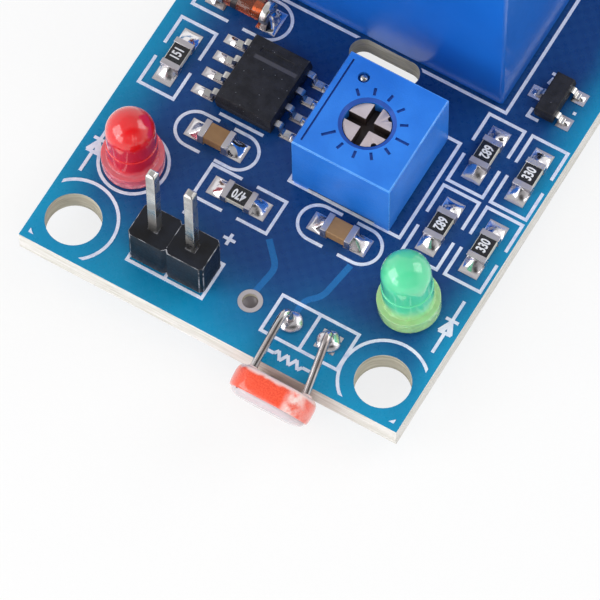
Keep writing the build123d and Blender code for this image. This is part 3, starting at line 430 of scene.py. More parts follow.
def solder_mask(name, navy, teal, edge):
    """Liquid photo-imaged solder mask, cured glossy over a glass-epoxy board.

    The blue is deep over the middle, where copper lies under it, and turns to teal in a band along
    the board's edges: a painted glow for the light that gets in from the pale laminate, a wide band
    at the front, and about half as wide along the sides. A faint weave shows through."""
    made, tree, shader, place = finish(name, Specular_IOR_Level=0.28)
    parts = add(tree, "SeparateXYZ", {0: place})
    low, high = box_of("circuit_board")
    # How far in from each edge; a side's distances count more, which makes its band narrower
    nearest = None
    for axis, at, weight in ((0, low[0], 1.9), (0, high[0], -2.4), (1, low[1], 1), (1, high[1], -1)):
        inward = add(tree, "Math", {0: parts[axis], 1: weight, 2: -weight * at}, operation="MULTIPLY_ADD")[0]
        nearest = inward if nearest is None else add(
            tree, "Math", {0: nearest, 1: inward, 2: 2 * MM}, operation="SMOOTH_MIN",
        )[0]
    drift = mottle(tree, place, 6 * MM, 2.0)
    shifted = add(tree, "Math", {0: drift, 1: 1.6 * MM, 2: nearest}, operation="MULTIPLY_ADD")[0]
    # Painted glow: teal near the edges, navy further in
    share = add(tree, "MapRange", {0: shifted, 1: -0.5 * MM, 2: edge, 3: 1, 4: 0}, **SMOOTH)[0]
    base = add(tree, "Mix", {0: share, 6: navy, 7: teal}, data_type="RGBA")[2]
    # Threads of the glass cloth, 0.45 mm apart, each way
    weave = []
    for axis in range(2):
        thread = add(tree, "Math", {0: parts[axis], 1: 2 * np.pi / (0.9 * MM)}, operation="MULTIPLY")[0]
        weave.append(add(tree, "Math", {0: thread}, operation="SINE")[0])
    cloth = add(tree, "Math", dict(enumerate(weave)), operation="MULTIPLY")[0]
    faint = add(tree, "MapRange", {0: cloth, 1: -1, 2: 1, 3: 0, 4: 0.035}, **SMOOTH)[0]
    fine = mottle(tree, place, 0.35 * MM, 3.0)
    surfaced(tree, shader, faint, base, linear("#5a9fd4"), fine, 0.002 * MM, fine, 0.26, 0.36)
    return made


def lens_resin(name, deep, pale, foot, top, scatter):
    """Diffused casting resin, dyed and glossy from its mould: cloudy in the dome, clear at the flange, with a
    painted glow at the foot.
    """
    # The pale colour of the clear foot is also the colour of its painted glow
    made, tree, shader, place = finish(
        name, IOR=1.5, Coat_Weight=0.9, Coat_Roughness=0.03, Subsurface_Scale=0.35 * MM,
        Subsurface_Radius=scatter, Emission_Color=pale,
    )
    height = add(tree, "SeparateXYZ", {0: place})["Z"]
    drift = mottle(tree, place, 1.1 * MM, 2.0)
    uneven = add(tree, "Math", {0: drift, 1: 0.35 * MM, 2: height}, operation="MULTIPLY_ADD")[0]
    share = add(tree, "MapRange", {0: uneven, 1: foot, 2: top, 3: 0, 4: 1}, **SMOOTH)[0]
    # Painted glow: a faint emission at the foot stands in for the light that the dome gathers,
    # and makes the foot brighter than the board behind
    for key, clear, cloudy in (
        ("Transmission Weight", 0.6, 0.05), ("Subsurface Weight", 0.35, 0.3), ("Emission Strength", 0.1, 0),
    ):
        value = add(tree, "MapRange", {0: share, 1: 0, 2: 1, 3: clear, 4: cloudy}, **SMOOTH)[0]
        tree.links.new(value, shader.inputs[key])
    # The clear foot is uneven inside, which breaks the light into bright streaks
    streaks = mottle(tree, place, 0.7 * MM, 1.0)
    clear = add(tree, "Math", {0: 1.0, 1: share}, operation="SUBTRACT")[0]
    height = add(tree, "Math", {0: streaks, 1: clear}, operation="MULTIPLY")[0]
    surfaced(tree, shader, share, pale, deep, height, 0.07 * MM, share, 0.06, 0.16)
    return made


def frosted_ceramic(name, deep, bloom, origin, out):
    """Dyed ceramic, pressed and fired, under a clear dip coat that has a glossy skin.

    White bloom lies in a patch towards the right, and the coat's pale edge shows round the back."""
    made, tree, shader, place = finish(name, IOR=1.5, Coat_Weight=0.8, Coat_Roughness=0.05)
    patches = mottle(tree, place, 0.5 * MM, 4.0, 0.3, 0.62)
    rightward = along(tree, place, origin, (1, 0, 0))
    rise = add(tree, "MapRange", {0: rightward, 1: 1.0 * MM, 2: 1.55 * MM, 3: 0, 4: 0.95}, **SMOOTH)[0]
    fall = add(tree, "MapRange", {0: rightward, 1: 1.85 * MM, 2: 2.4 * MM, 3: 1, 4: 0.2}, **SMOOTH)[0]
    band = add(tree, "Math", {0: rise, 1: fall}, operation="MULTIPLY")[0]
    frost = add(tree, "Math", {0: patches, 1: band}, operation="MULTIPLY")[0]
    depth = along(tree, place, origin, out)
    uneven = add(tree, "Math", {0: patches, 1: -0.12 * MM, 2: depth}, operation="MULTIPLY_ADD")[0]
    glassy = add(tree, "MapRange", {0: uneven, 1: 0.02 * MM, 2: 0.26 * MM, 3: 0.85, 4: 0}, **SMOOTH)[0]
    share = add(tree, "Math", {0: frost, 1: glassy}, operation="MAXIMUM")[0]
    grains = mottle(tree, place, 0.09 * MM, 2.0, 0.3, 0.7)
    dyed = add(tree, "Mix", {0: grains, 6: deep, 7: linear("#fa5a34")}, data_type="RGBA")[2]
    surfaced(tree, shader, share, dyed, bloom, grains, 0.004 * MM, share, 0.28, 0.45)
    return made


def speckled_epoxy(name, stripe):
    """Moulded epoxy of a chip package: matt charcoal with a fine sandy grain and a few bright grains.

    A short paler stripe runs across the chip, with its middle at the given place."""
    made, tree, shader, place = finish(name, Specular_IOR_Level=0.3)
    cells = add(tree, "TexVoronoi", {"Vector": place, "Scale": 1 / (0.16 * MM)})
    spot = add(tree, "MapRange", {0: cells["Distance"], 1: 0.10, 2: 0.16, 3: 1, 4: 0}, **SMOOTH)[0]
    drawn = add(tree, "SeparateColor", {0: cells["Color"]})[0]
    chosen = add(tree, "MapRange", {0: drawn, 1: 0.86, 2: 0.90, 3: 0, 4: 0.7}, **SMOOTH)[0]
    bright = add(tree, "Math", {0: spot, 1: chosen}, operation="MULTIPLY")[0]
    # The stripe: inside these half widths, in millimetres, and gone at the second of each pair
    sides = []
    for way, whole, gone, strength in (((0, 1, 0), 0.09, 0.17, 1), ((1, 0, 0), 1.35, 1.5, 0.8)):
        off = add(tree, "Math", {0: along(tree, place, stripe, way)}, operation="ABSOLUTE")[0]
        inside = {0: off, 1: whole * MM, 2: gone * MM, 3: strength, 4: 0}
        sides.append(add(tree, "MapRange", inside, **SMOOTH)[0])
    band = add(tree, "Math", dict(enumerate(sides)), operation="MULTIPLY")[0]
    share = mottle(tree, place, 0.5 * MM)
    dark = add(tree, "Mix", {0: share, 6: linear("#1c1c20"), 7: linear("#2a2a2f")}, data_type="RGBA")[2]
    striped = add(tree, "Mix", {0: band, 6: dark, 7: linear("#55545a")}, data_type="RGBA")[2]
    fine = mottle(tree, place, 0.07 * MM, 4.0)
    surfaced(tree, shader, bright, striped, linear("#b9bcc4"), fine, 0.006 * MM, fine, 0.42, 0.62)
    return made


def highlit_edge(name, dark, pale, size):
    """A moulded edge painted pale in short stretches, as a highlight where it catches the light."""
    made, tree, shader, place = finish(name, Specular_IOR_Level=0.4)
    share = mottle(tree, place, size, 3.0, 0.42, 0.58)
    surfaced(tree, shader, share, linear(dark), linear(pale), share, 0.004 * MM, share, 0.3, 0.5)
    return made


def ink_print(name):
    """White screen-printed ink, slightly thin in places so that the blue shows through."""
    made, tree, shader, place = finish(name, IOR=1.48)
    share = mottle(tree, place, 0.45 * MM, 4.0, 0.45, 0.75)
    fine = mottle(tree, place, 0.06 * MM, 3.0)
    surfaced(tree, shader, share, linear("#e6ebfa"), linear("#c6d1ee"), fine, 0.005 * MM, fine, 0.45, 0.6)
    return made


def laminate(name, colour, other):
    """Glass-epoxy laminate where it is cut: pale and matt, with its layers of cloth as fine level lines."""
    made, tree, shader, place = finish(name, IOR=1.5, Roughness=0.62)
    squashed = add(tree, "Mapping", {"Vector": place, "Scale": (0.25, 0.25, 3.0)})["Vector"]
    layers = mottle(tree, squashed, 0.5 * MM, 3.0)
    surfaced(tree, shader, layers, linear(colour), linear(other), layers, 0.02 * MM)
    return made


def any_seen(tree):
    """1 for what the camera sees directly, in gloss or through glass, and 0 for the light on a surface."""
    rays = add(tree, "LightPath")
    either = add(tree, "Math", {0: rays["Is Camera Ray"], 1: rays["Is Glossy Ray"]}, operation="MAXIMUM")[0]
    return add(tree, "Math", {0: either, 1: rays["Is Transmission Ray"]}, operation="MAXIMUM")[0]


def painted_floor(name):
    """Matt white paint, which the camera, metal and glass see lit nearly to white."""
    made = plain_finish(name, "#f6f6f6", "#f3f3f3", 0.75, 1.5, 0.01, 60)
    tree = made.node_tree
    share = add(tree, "Math", {0: any_seen(tree), 1: 0.8}, operation="MULTIPLY")[0]
    white = add(tree, "Emission", {"Color": (1, 1, 1, 1), "Strength": 1.0})[0]
    painted = tree.nodes["Principled BSDF"].outputs[0]
    mixed = add(tree, "MixShader", {0: share, 1: painted, 2: white})[0]
    tree.links.new(mixed, tree.nodes["Material Output"].inputs["Surface"])
    return made


# Moulded, fired, cast and printed finishes: the name, two near colours, the roughness, and the grain,
# its depth and the blotches in millimetres
PLAIN = {
    # Copper under the mask is paler than the board, and lifts it
    "track": (
        ("solder_mask_over_copper", "#1c66a8", "#2371b2", 0.3, 0.3, 0.002), {"Specular_IOR_Level": 0.28},
    ),
    # Solder in the test hole, dulled and browned by what is left of the flux
    "stain": (("solder_dulled_by_flux", "#8f888b", "#7a7376", 0.4, 0.12, 0.004), {}),
    # Glass fired over the resistors' film: black, with a soft shine
    "glaze": (("fired_black_glaze", "#141518", "#222327", 0.3, 0.2, 0.004), {}),
    # White fired ceramic, matt and fine
    "alumina": (("alumina_ceramic", "#e4e1d8", "#cfcabd", 0.5, 0.15, 0.006), {}),
    # Tan fired ceramic of the capacitors, a little smoother
    "titanate": (("titanate_ceramic_tan", "#a88258", "#906c46", 0.38, 0.2, 0.006), {}),
    "numbers": (("fired_white_ink", "#f4f4f6", "#e2e2e6", 0.5, 0.1, 0.002), {}),
    # Polyester of the trimmer, moulded with a satin skin, paler where its edges catch the light
    "trimmer": (
        ("moulded_polyester_blue", "#2f84ea", "#2577dc", 0.34, 0.12, 0.004, 2.4), {"Specular_IOR_Level": 0.4},
    ),
    # Its softened edges are paler: a painted highlight where they catch the light
    "trimmer_edge": (("polyester_edge_painted_highlight", "#62aeff", "#4a98f4", 0.3, 0.3, 0.002, 1.2), {}),
    # Its sunk scale is less polished, and painted darker as the shade that falls in it
    "groove": (("polyester_groove_painted_shade", "#1c52b0", "#17459c", 0.45, 0.2, 0.002), {}),
    "rotor": (("moulded_rotor_cream", "#cfc3c5", "#bdb0b2", 0.42, 0.15, 0.004), {}),
    # The slots are painted dark, as the shade that gathers in them
    "rotor_slot": (("rotor_slot_painted_shade", "#2c2220", "#40332c", 0.5, 0.2, 0.004), {}),
    # Glossy thermoplastic of the relay's cup
    "relay": (
        ("moulded_relay_cup_blue", "#1a66c6", "#1760bd", 0.22, 0.5, 0.002, 5), {"Specular_IOR_Level": 0.4},
    ),
    # Its softened edges are paler: a painted highlight where they catch the light
    "relay_edge": (("relay_cup_edge_painted_highlight", "#5aa0ea", "#3d86da", 0.2, 0.4, 0.002, 3), {}),
    # Resin poured in under the cup: level and dull
    "potting": (("potted_relay_base", "#1a4f96", "#163f7b", 0.35, 0.2, 0.006), {}),
    # Filled nylon of the header, black with a soft shine
    "nylon": (
        ("moulded_nylon_black", "#0d0d11", "#181c26", 0.42, 0.2, 0.004, 1.6), {"Specular_IOR_Level": 0.3},
    ),
    # The track of a photoresistor is a matt sulphide
    "film": (("sulphide_film", "#b2462a", "#8f3320", 0.5, 0.1, 0.004), {}),
    # Milky clear resin, glossy from the dip
    "coat": (
        ("clear_coat_resin", "#fdf9fd", "#f1e9f2", 0.08, 0.5, 0.008),
        {"Transmission_Weight": 0.4, "IOR": 1.45},
    ),
    # Drawn soda glass round the diode's plugs
    "glass": (
        ("diode_glass_red", "#d96a3c", "#c4502c", 0.06, 0.6, 0.006),
        {"Transmission_Weight": 0.85, "IOR": 1.52},
    ),
    "band": (("baked_band_dark", "#1d1416", "#2b1d1f", 0.35, 0.2, 0.004), {}),
    # Polyamide of the terminal, moulded matt
    "terminal": (("moulded_polyamide_blue", "#1d6ab3", "#1b65ab", 0.38, 0.14, 0.006, 3), {}),
}

# Metals: the name, two near colours, the roughness, and the grain, its depth and the waves in millimetres
METAL = {
    # Tin solder sets with a mirror-like skin that bends with its meniscus
    "solder": ("tin_solder_bright", "#eeecee", "#d6d0d4", 0.17, 0.45, 0.008),
    # Barrel-plated tin on the chips' ends is dull, with fine grains
    "cap": ("tin_plated_chip_end", "#d8d4d8", "#bfb9be", 0.36, 0.3, 0.003),
    # Hot-dipped tin on leads is softer and a little warmer
    "tinned": ("tinned_copper_lead", "#d6d4d1", "#b3b0ad", 0.27, 0.25, 0.002),
    # Drawn and tinned wire: smooth, so that it shows the room as long streaks
    "lead": ("tinned_wire_bright", "#dcd9d9", "#b9aeac", 0.15, 0.8, 0.002, 1.2),
    # Tin that is levelled over a flat land is pale and even
    "land": ("tinned_land", "#e2dcde", "#cbc2c4", 0.34, 0.4, 0.002),
    # Stamped and rolled, yellow and smooth
    "bronze": ("spring_bronze", "#c99a58", "#b2854a", 0.25, 0.2, 0.004),
    # Nickel is a warmer grey than tin, with a satin shine
    "nickel": ("nickel_plated_steel", "#cfcdc8", "#b5b3ae", 0.26, 0.18, 0.004),
}
MATERIALS = {}


def sensor_place():
    """The middle of the photoresistor's back, and the direction that its face looks in."""
    look = bpy.context.scene.module_sensor
    board_low, board_high = box_of("circuit_board")
    leads_low, leads_high = box_of("sensor_leads")
    tilt = np.radians(look.tilt)
    middle = (leads_low[0] + leads_high[0]) / 2
    origin = np.array((middle + look.offset, board_low[1] - look.forward, board_high[2] + look.rise))
    return origin, np.array((0, -np.cos(tilt), -np.sin(tilt)))


def make_materials():
    """Every finish of the module, named for what it is."""
    look = bpy.context.scene.module_board
    lamps = bpy.context.scene.module_lamps
    sensor = bpy.context.scene.module_sensor
    chip_low, chip_high = box_of("comparator_body")
    stripe = ((chip_low[0] + chip_high[0]) / 2 + 0.2 * MM, chip_high[1] - 1.4 * MM, 0)
    made = MATERIALS
    for key, (values, constants) in PLAIN.items():
        made[key] = plain_finish(*values, **constants)
    for key, values in METAL.items():
        made[key] = metal_finish(*values)
    made["mask"] = solder_mask("solder_mask_blue", (*look.navy, 1), (*look.teal, 1), look.edge_band)
    # The sawn rim is pale; the drilled and milled walls are rougher, and painted darker as the shade inside
    # them
    made["cut"] = laminate("glass_epoxy_cut_edge", "#e6e3df", "#cfccc2")
    made["bore"] = laminate("glass_epoxy_drilled_painted_shade", "#cdc7b6", "#a9a390")
    made["ink"] = ink_print("screen_printed_ink")
    made["epoxy"] = speckled_epoxy("moulded_epoxy_charcoal", stripe)
    # The header's softened edges are painted pale in short stretches, as a highlight
    made["nylon_edge"] = highlit_edge("nylon_edge_painted_highlight", "#2a2b30", "#9a9ba2", 0.4 * MM)
    # The dye's colour and how far each colour of light scatters; clear below the first height, cloudy above
    # the second, in millimetres from the lens's foot
    for key, deep, pale, clear, cloudy, scatter in (
        ("red", lamps.red, "#ff8a98", 0.7, 2.0, (1.0, 0.25, 0.2)),
        ("green", lamps.green, "#d0fdb2", 0.9, 2.6, (0.4, 1.0, 0.7)),
    ):
        foot = box_of(f"lamp_{key}_lens")[0][2]
        made[key] = lens_resin(
            f"diffused_resin_{key}", (*deep, 1), linear(pale), foot + clear * MM, foot + cloudy * MM, scatter,
        )
    made["ceramic"] = frosted_ceramic(
        "dyed_ceramic_orange", (*sensor.orange, 1), linear("#fbe4de"), *sensor_place(),
    )
    made["floor"] = painted_floor("painted_floor_white")


# Settings


class StageSettings(bpy.types.PropertyGroup):
    """The camera, the floor and the lamps."""

    azimuth: FloatProperty(name="Camera azimuth", description="Degrees from +Y towards -X", default=30.777)
    elevation: FloatProperty(name="Camera elevation", description="Degrees above the horizon", default=62.959)
    roll: FloatProperty(name="Camera roll", description="Degrees about the line of sight", default=-0.603)
    distance: FloatProperty(
        name="Camera distance", description="From the point that the camera aims at", default=0.413,
        unit="LENGTH",
    )
    lens: FloatProperty(name="Lens", description="Focal length in millimetres", default=420.0)
    shift_right: FloatProperty(
        name="Picture shift right", description="How far right of the picture's middle the aim lies, in pixels",
        default=21.242,
    )
    shift_down: FloatProperty(
        name="Picture shift down", description="How far below the picture's middle the aim lies, in pixels",
        default=-137.659,
    )
    picture: FloatProperty(
        name="Picture side", description="Side of the square picture, in pixels", default=600.0,
    )
    floor: FloatProperty(name="Floor side", description="Side of the pale floor", default=1.6, unit="LENGTH")
    world: FloatProperty(name="World light", description="Strength of the even light", default=0.5)
    overhead: FloatProperty(name="Overhead", description="How bright gloss shows the sky", default=0.6)
    dark_side: FloatVectorProperty(
        name="Dark side", description="Direction of the dark part of the room", subtype="XYZ", size=3,
        default=(0.61, -0.6, 0.52),
    )
    darkness: FloatProperty(name="Darkness", description="How much light gloss loses there", default=0.55)
    key: FloatProperty(
        name="Key lamp", description="Watts of the lamp low at the left front", default=0.8, unit="POWER",
    )
    back: FloatProperty(
        name="Back lamp", description="Watts of the lamp behind at the right", default=0.55, unit="POWER",
    )
    fill: FloatProperty(
        name="Fill lamp", description="Watts of the lamp at the right front", default=0.4, unit="POWER",
    )
    window: FloatProperty(
        name="Window", description="Watts of the low light in front", default=0.35, unit="POWER",
    )


class BoardSettings(bpy.types.PropertyGroup):
    """The circuit board's mask and tracks."""

    navy: FloatVectorProperty(
        name="Middle of the mask", description="Mask colour over the board's middle", subtype="COLOR",
        size=3, default=linear("#0f3f7c")[:3],
    )
    # The edge colour is a painted glow of light that gets in through the laminate
    teal: FloatVectorProperty(
        name="Edge of the mask", description="Mask colour along the board's edges", subtype="COLOR",
        size=3, default=linear("#0c92bf")[:3],
    )
    edge_band: FloatProperty(
        name="Edge band", description="How far the teal reaches in", default=7.5 * MM, unit="LENGTH",
    )
    track: FloatProperty(name="Track width", description="Width of a track", default=0.42 * MM, unit="LENGTH")
    print: FloatProperty(
        name="Print line", description="Width of a printed line", default=0.2 * MM, unit="LENGTH",
    )
    relief: FloatProperty(
        name="Track height", description="How far a track lifts the mask", default=0.02 * MM, unit="LENGTH",
    )


class LampSettings(bpy.types.PropertyGroup):
    """The two indicator lamps."""

    red: FloatVectorProperty(
        name="Red", description="Colour of the red lens", subtype="COLOR", size=3,
        default=linear("#e6191f")[:3],
    )
    green: FloatVectorProperty(
        name="Green", description="Colour of the green lens", subtype="COLOR", size=3,
        default=linear("#5cdda6")[:3],
    )
    radius: FloatProperty(
        name="Barrel radius", description="Radius of the lens", default=1.5 * MM, unit="LENGTH",
    )
    flange_radius: FloatProperty(
        name="Flange radius", description="Radius of the flange", default=1.9 * MM, unit="LENGTH",
    )
    flange: FloatProperty(
        name="Flange height", description="Height of the flange", default=1.0 * MM, unit="LENGTH",
    )
    step: FloatProperty(
        name="Step", description="How far the lens's foot stands out", default=0.06 * MM, unit="LENGTH",
    )
    step_height: FloatProperty(
        name="Step height", description="Height of the lens's wider foot", default=2.55 * MM, unit="LENGTH",
    )
    barrel: FloatProperty(
        name="Barrel height", description="Height where the dome begins", default=3.75 * MM, unit="LENGTH",
    )
    red_lean: FloatProperty(name="Red lean", description="Degrees that the red lamp leans left", default=1.4)
    green_lean: FloatProperty(
        name="Green lean", description="Degrees that the green lamp leans left", default=4.0,
    )


class SensorSettings(bpy.types.PropertyGroup):
    """The photoresistor."""

    orange: FloatVectorProperty(
        name="Orange", description="Colour of the ceramic", subtype="COLOR", size=3,
        default=linear("#e83a12")[:3],
    )
    diameter: FloatProperty(name="Diameter", description="Width of the disc", default=5.2 * MM, unit="LENGTH")
    height: FloatProperty(name="Height", description="Across its two flats", default=4.3 * MM, unit="LENGTH")
    thickness: FloatProperty(name="Thickness", description="Of the ceramic", default=1.45 * MM, unit="LENGTH")
    coat: FloatProperty(name="Clear coat", description="Its thickness", default=0.4 * MM, unit="LENGTH")
    inset: FloatProperty(
        name="Coat inset", description="Twice its distance from the ceramic's edge", default=0.3 * MM,
        unit="LENGTH",
    )
    tilt: FloatProperty(name="Tilt", description="Degrees that its face looks down", default=19.0)
    forward: FloatProperty(
        name="Forward", description="From the board's front edge", default=0.76 * MM, unit="LENGTH",
    )
    rise: FloatProperty(name="Rise", description="Above the board's top", default=0.34 * MM, unit="LENGTH")
    offset: FloatProperty(
        name="Offset", description="Body right of its holes", default=0.12 * MM, unit="LENGTH",
    )
    bow: FloatProperty(
        name="Bow", description="How far the left lead bows out", default=0.35 * MM, unit="LENGTH",
    )
    lead: FloatProperty(name="Lead", description="Lead diameter", default=0.5 * MM, unit="LENGTH")
    spread: FloatProperty(
        name="Spread", description="Between the leads in the disc", default=3.65 * MM, unit="LENGTH",
    )
    hole_pitch: FloatProperty(
        name="Hole pitch", description="Between the leads in the board", default=2.54 * MM, unit="LENGTH",
    )
    bend: FloatProperty(name="Bend", description="Bend of the leads", default=0.95 * MM, unit="LENGTH")


class SolderSettings(bpy.types.PropertyGroup):
    """The solder joints."""

    stray: FloatProperty(
        name="Unevenness", description="How far solder strays from its form", default=0.03 * MM,
        unit="LENGTH",
    )
    wave: FloatProperty(name="Wave", description="Size of the unevenness", default=1.1 * MM, unit="LENGTH")
    mound: FloatProperty(name="Mound", description="Radius of a round joint over its land's", default=1.3)
    rows: IntProperty(name="Rows", description="Points along a meniscus", default=14, min=4)


# Operators


class MODULE_OT_stage(bpy.types.Operator):
    """Make the finishes, the pale floor, the lamps and the camera"""

    bl_idname = "light_module.stage"
    bl_label = "Stage and finishes"

    def execute(self, context):
        make_materials()
        look = context.scene.module_stage
        scene = context.scene
        scene.view_settings.view_transform = "Standard"
        half, floor_z = look.floor / 2, cad_low[2]
        side = np.array([-half, half])
        x, y = np.meshgrid(side, side)
        floor_points = np.stack([x, y, np.full_like(x, floor_z)], axis=-1)
        points, quads = grid(floor_points)
        mesh = bpy.data.meshes.new("floor")
        mesh.from_pydata(points, [], quads)
        mesh.materials.append(MATERIALS["floor"])
        floor = bpy.data.objects.new("floor", mesh)
        scene.collection.objects.link(floor)
        floor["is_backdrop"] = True

        world = bpy.data.worlds.new("even_light")
        world.use_nodes = True
        scene.world = world
        background = world.node_tree.nodes["Background"]
        background.inputs["Color"].default_value = (1, 1, 1, 1)
        # White round the horizon, and less bright overhead, so that level metal isn't plain white
        tree = world.node_tree
        way = add(tree, "TexCoord")["Generated"]
        height = add(tree, "SeparateXYZ", {0: way})["Z"]
        added = add(tree, "MapRange", {
            0: height, 1: 0.45, 2: 0.85, 3: 1 - look.world, 4: look.overhead - look.world,
        }, **SMOOTH)[0]
        strength = add(tree, "Math", {0: any_seen(tree), 1: added, 2: look.world}, operation="MULTIPLY_ADD")[0]
        # Dark in gloss on one side of the room, which gives solder and leads their dark sides
        toward = add(tree, "VectorMath", {0: way, 1: look.dark_side}, operation="DOT_PRODUCT")["Value"]
        darkness = add(tree, "MapRange", {0: toward, 1: 0.55, 2: 0.85, 3: 0, 4: look.darkness}, **SMOOTH)[0]
        glossy = add(tree, "LightPath")["Is Glossy Ray"]
        lost = add(tree, "Math", {0: darkness, 1: glossy}, operation="MULTIPLY")[0]
        strength = add(tree, "Math", {0: strength, 1: lost}, operation="SUBTRACT")[0]
        tree.links.new(strength, background.inputs["Strength"])

        # Each lamp's place from the object's middle and its side, in metres, its watts, and whether gloss
        # shows it
        middle = Vector((cad_low + cad_high) / 2)
        for name, offset, size, watts, shines in (
            ("key", (-0.26, -0.26, 0.17), 0.3, look.key, True),
            ("back", (0.23, 0.23, 0.24), 0.28, look.back, True),
            ("fill", (0.2, -0.24, 0.25), 0.24, look.fill, False),
            ("window", (-0.14, -0.42, 0.08), 0.22, look.window, True),
        ):
            light = bpy.data.lights.new(name, "AREA")
            light.size = size
            light.energy = watts
            lamp = bpy.data.objects.new(name, light)
            lamp.location = middle + Vector(offset)
            lamp.rotation_euler = Vector(offset).to_track_quat("Z", "Y").to_euler()
            lamp.visible_glossy = shines
            scene.collection.objects.link(lamp)

        azimuth, elevation, roll = (np.radians(a) for a in (look.azimuth, look.elevation, look.roll))
        back = Vector((
            np.sin(azimuth) * np.cos(elevation), -np.cos(azimuth) * np.cos(elevation), np.sin(elevation),
        ))
        level_right = Vector((np.cos(azimuth), np.sin(azimuth), 0))
        level_up = back.cross(level_right)
        right = np.cos(roll) * level_right + np.sin(roll) * level_up
        up = np.cos(roll) * level_up - np.sin(roll) * level_right
        # The camera aims at a point of the board's top, this far in from its left and front edges
        aim_in = 13 * MM
        board_low, board_high = box_of("circuit_board")
        aim = Vector((board_low[0] + aim_in, board_low[1] + aim_in, board_high[2]))
        camera_data = bpy.data.cameras.new("camera")
        camera_data.lens = look.lens
        camera_data.sensor_width = 36
        camera_data.shift_x = -look.shift_right / look.picture
        camera_data.shift_y = look.shift_down / look.picture
        camera_data.clip_start, camera_data.clip_end = 0.01, 10
        camera = bpy.data.objects.new("camera", camera_data)
        camera.matrix_world = Matrix.Translation(aim + back * look.distance) @ Matrix(
            (right, up, back)
        ).transposed().to_4x4()
        scene.collection.objects.link(camera)
        scene.camera = camera
        return {"FINISHED"}


class MODULE_OT_board(bpy.types.Operator):
    """Dress the circuit board, its tracks, lands and print"""

    bl_idname = "light_module.board"
    bl_label = "Board, tracks and print"

    def execute(self, context):
        look = context.scene.module_board
        low, high = box_of("circuit_board")

        def pick(normals, middles):
            """The mask on level faces, the cut finish on the rim, and the drilled one, painted darker as shade,
            inside holes.
            """
            level_face = np.abs(normals[:, 2]) > 0.5
            outer = (np.abs(middles[:, :2]) > high[:2] - 0.01 * MM).any(axis=1)
            return np.where(level_face, 0, np.where(outer, 1, 2))

        board = dressed("circuit_board", "mask cut bore", 0.05, pick=pick)
        # A micron less each way keeps the softened edge inside the CAD's box
        inside = 0.9999
        board.data.transform(Matrix.Diagonal((inside, inside, 1, 1)))
        paint("board_print", "ink")
        for node in ("surface_lands", "underside_lands"):
            paint(node, "land")

        # Tracks under the mask, in millimetres from the board's front left corner
        routes = [
            [(12.9, 7.1), (14.2, 5.7), (14.0, 4.3), (13.9, 3.6)],
            [(17.9, 8.0), (17.5, 5.4), (16.7, 4.7), (16.7, 3.4)],
        ]
        section = np.array([(-1, -1), (1, -1), (0.9, 1), (-0.9, 1)]) * [look.track / 2, look.relief / 2]
        shapes = []
        for route in routes:
            flat = rounded(route, 0.5, 4) * MM
            path = np.column_stack([flat[:, 0] + low[0], flat[:, 1] + low[1], np.full(len(flat), high[2])])
            shapes.append(strip(path, section))
        piece("board_tracks", shapes, "track")
        self.marks(low, look)
        self.hole_fill(high[2])
        return {"FINISHED"}

    def marks(self, low, look):
        """Plain symbols in the print: two diodes, a resistor, a plus, a minus and a few dashes.

        Routes are in millimetres from the board's front left corner. Each line lies a shade higher
        than the last, so that no two faces share a level where they cross."""
        shade = 0.0006 * MM
        print_low, print_high = box_of("board_print")
        half = (look.print / 2, (print_high[2] - print_low[2]) / 2)
        section = np.array([(-1, -1), (1, -1), (1, 1), (-1, 1)]) * half
        routes = []
        for x, y in ((0.95, 7.3), (24.85, 7.4)):
            routes += [
                [(x, y - 1.9), (x, y - 0.45)], [(x - 0.42, y - 0.45), (x + 0.42, y - 0.45)],
                [(x - 0.4, y - 0.45), (x, y + 0.4)], [(x + 0.4, y - 0.45), (x, y + 0.4)],
                [(x - 0.2, y - 0.45), (x, y + 0.2)], [(x + 0.2, y - 0.45), (x, y + 0.2)],
                [(x - 0.42, y + 0.45), (x + 0.42, y + 0.45)], [(x, y + 0.45), (x, y + 1.9)],
            ]
        teeth = [(17.1 + 0.3 * step, 0.85 + 0.28 * (-1) ** step) for step in range(6)]
        routes += [[(16.4, 0.85), (16.9, 0.85), *teeth, (18.8, 0.85), (19.3, 0.85)]]
        routes += [[(7.6, 6.1), (8.4, 6.1)], [(10.5, 5.9), (11.3, 5.9)], [(10.9, 5.5), (10.9, 6.3)]]
        routes += [
            [(24.25, 23.3), (24.45, 23.3)], [(22.0, 21.8), (22.02, 22.4)], [(22.02, 24.25), (22.14, 24.75)],
        ]
        shapes = []
        for number, route in enumerate(routes):
            flat = np.array(route, float) * MM + low[:2]
            path = np.column_stack([flat, np.full(len(flat), (print_low[2] + print_high[2]) / 2)])
            for start in range(len(path) - 1):
                lift = (0, 0, (number + 0.13 * start) * shade)
                shapes.append(strip(path[start : start + 2] + lift, section))
        piece("board_marks", shapes, "ink")

    def hole_fill(self, top):
        """A shallow dish of solder in the test hole, inside the land that is nearest to it.

        At a share s of its radius it is s^2 times the rim's height above its deepest point."""
        radius, bottom, deepest, rim = 0.46 * MM, -0.6 * MM, -0.42 * MM, 0.16 * MM
        middles = [(low + high)[:2] / 2 for low, high, _ in solids_of("surface_lands")]
        middle = min(middles, key=lambda place: np.hypot(*(place - TEST_HOLE)))
        share = np.linspace(0, 1, 8)
        dish = np.stack([share * radius, deepest + rim * share**2], axis=-1)
        profile = np.vstack([[(0, bottom), (radius, bottom)], dish[::-1]])
        piece("test_hole_fill", [turned(profile, 32, (*middle, top))], "stain")


def strip(path, section):
    """A flat section carried along a level path: point (a, b) goes to path + a * across + b * up."""
    step = np.gradient(path, axis=0)
    across = np.cross(step / np.linalg.norm(step, axis=1)[:, None], (0, 0, 1))
    rise = section[None, :, 1:] * np.array((0, 0, 1))
    points = path[:, None] + section[None, :, :1] * across[:, None] + rise
    return grid(closed(points), wrap_columns=True)


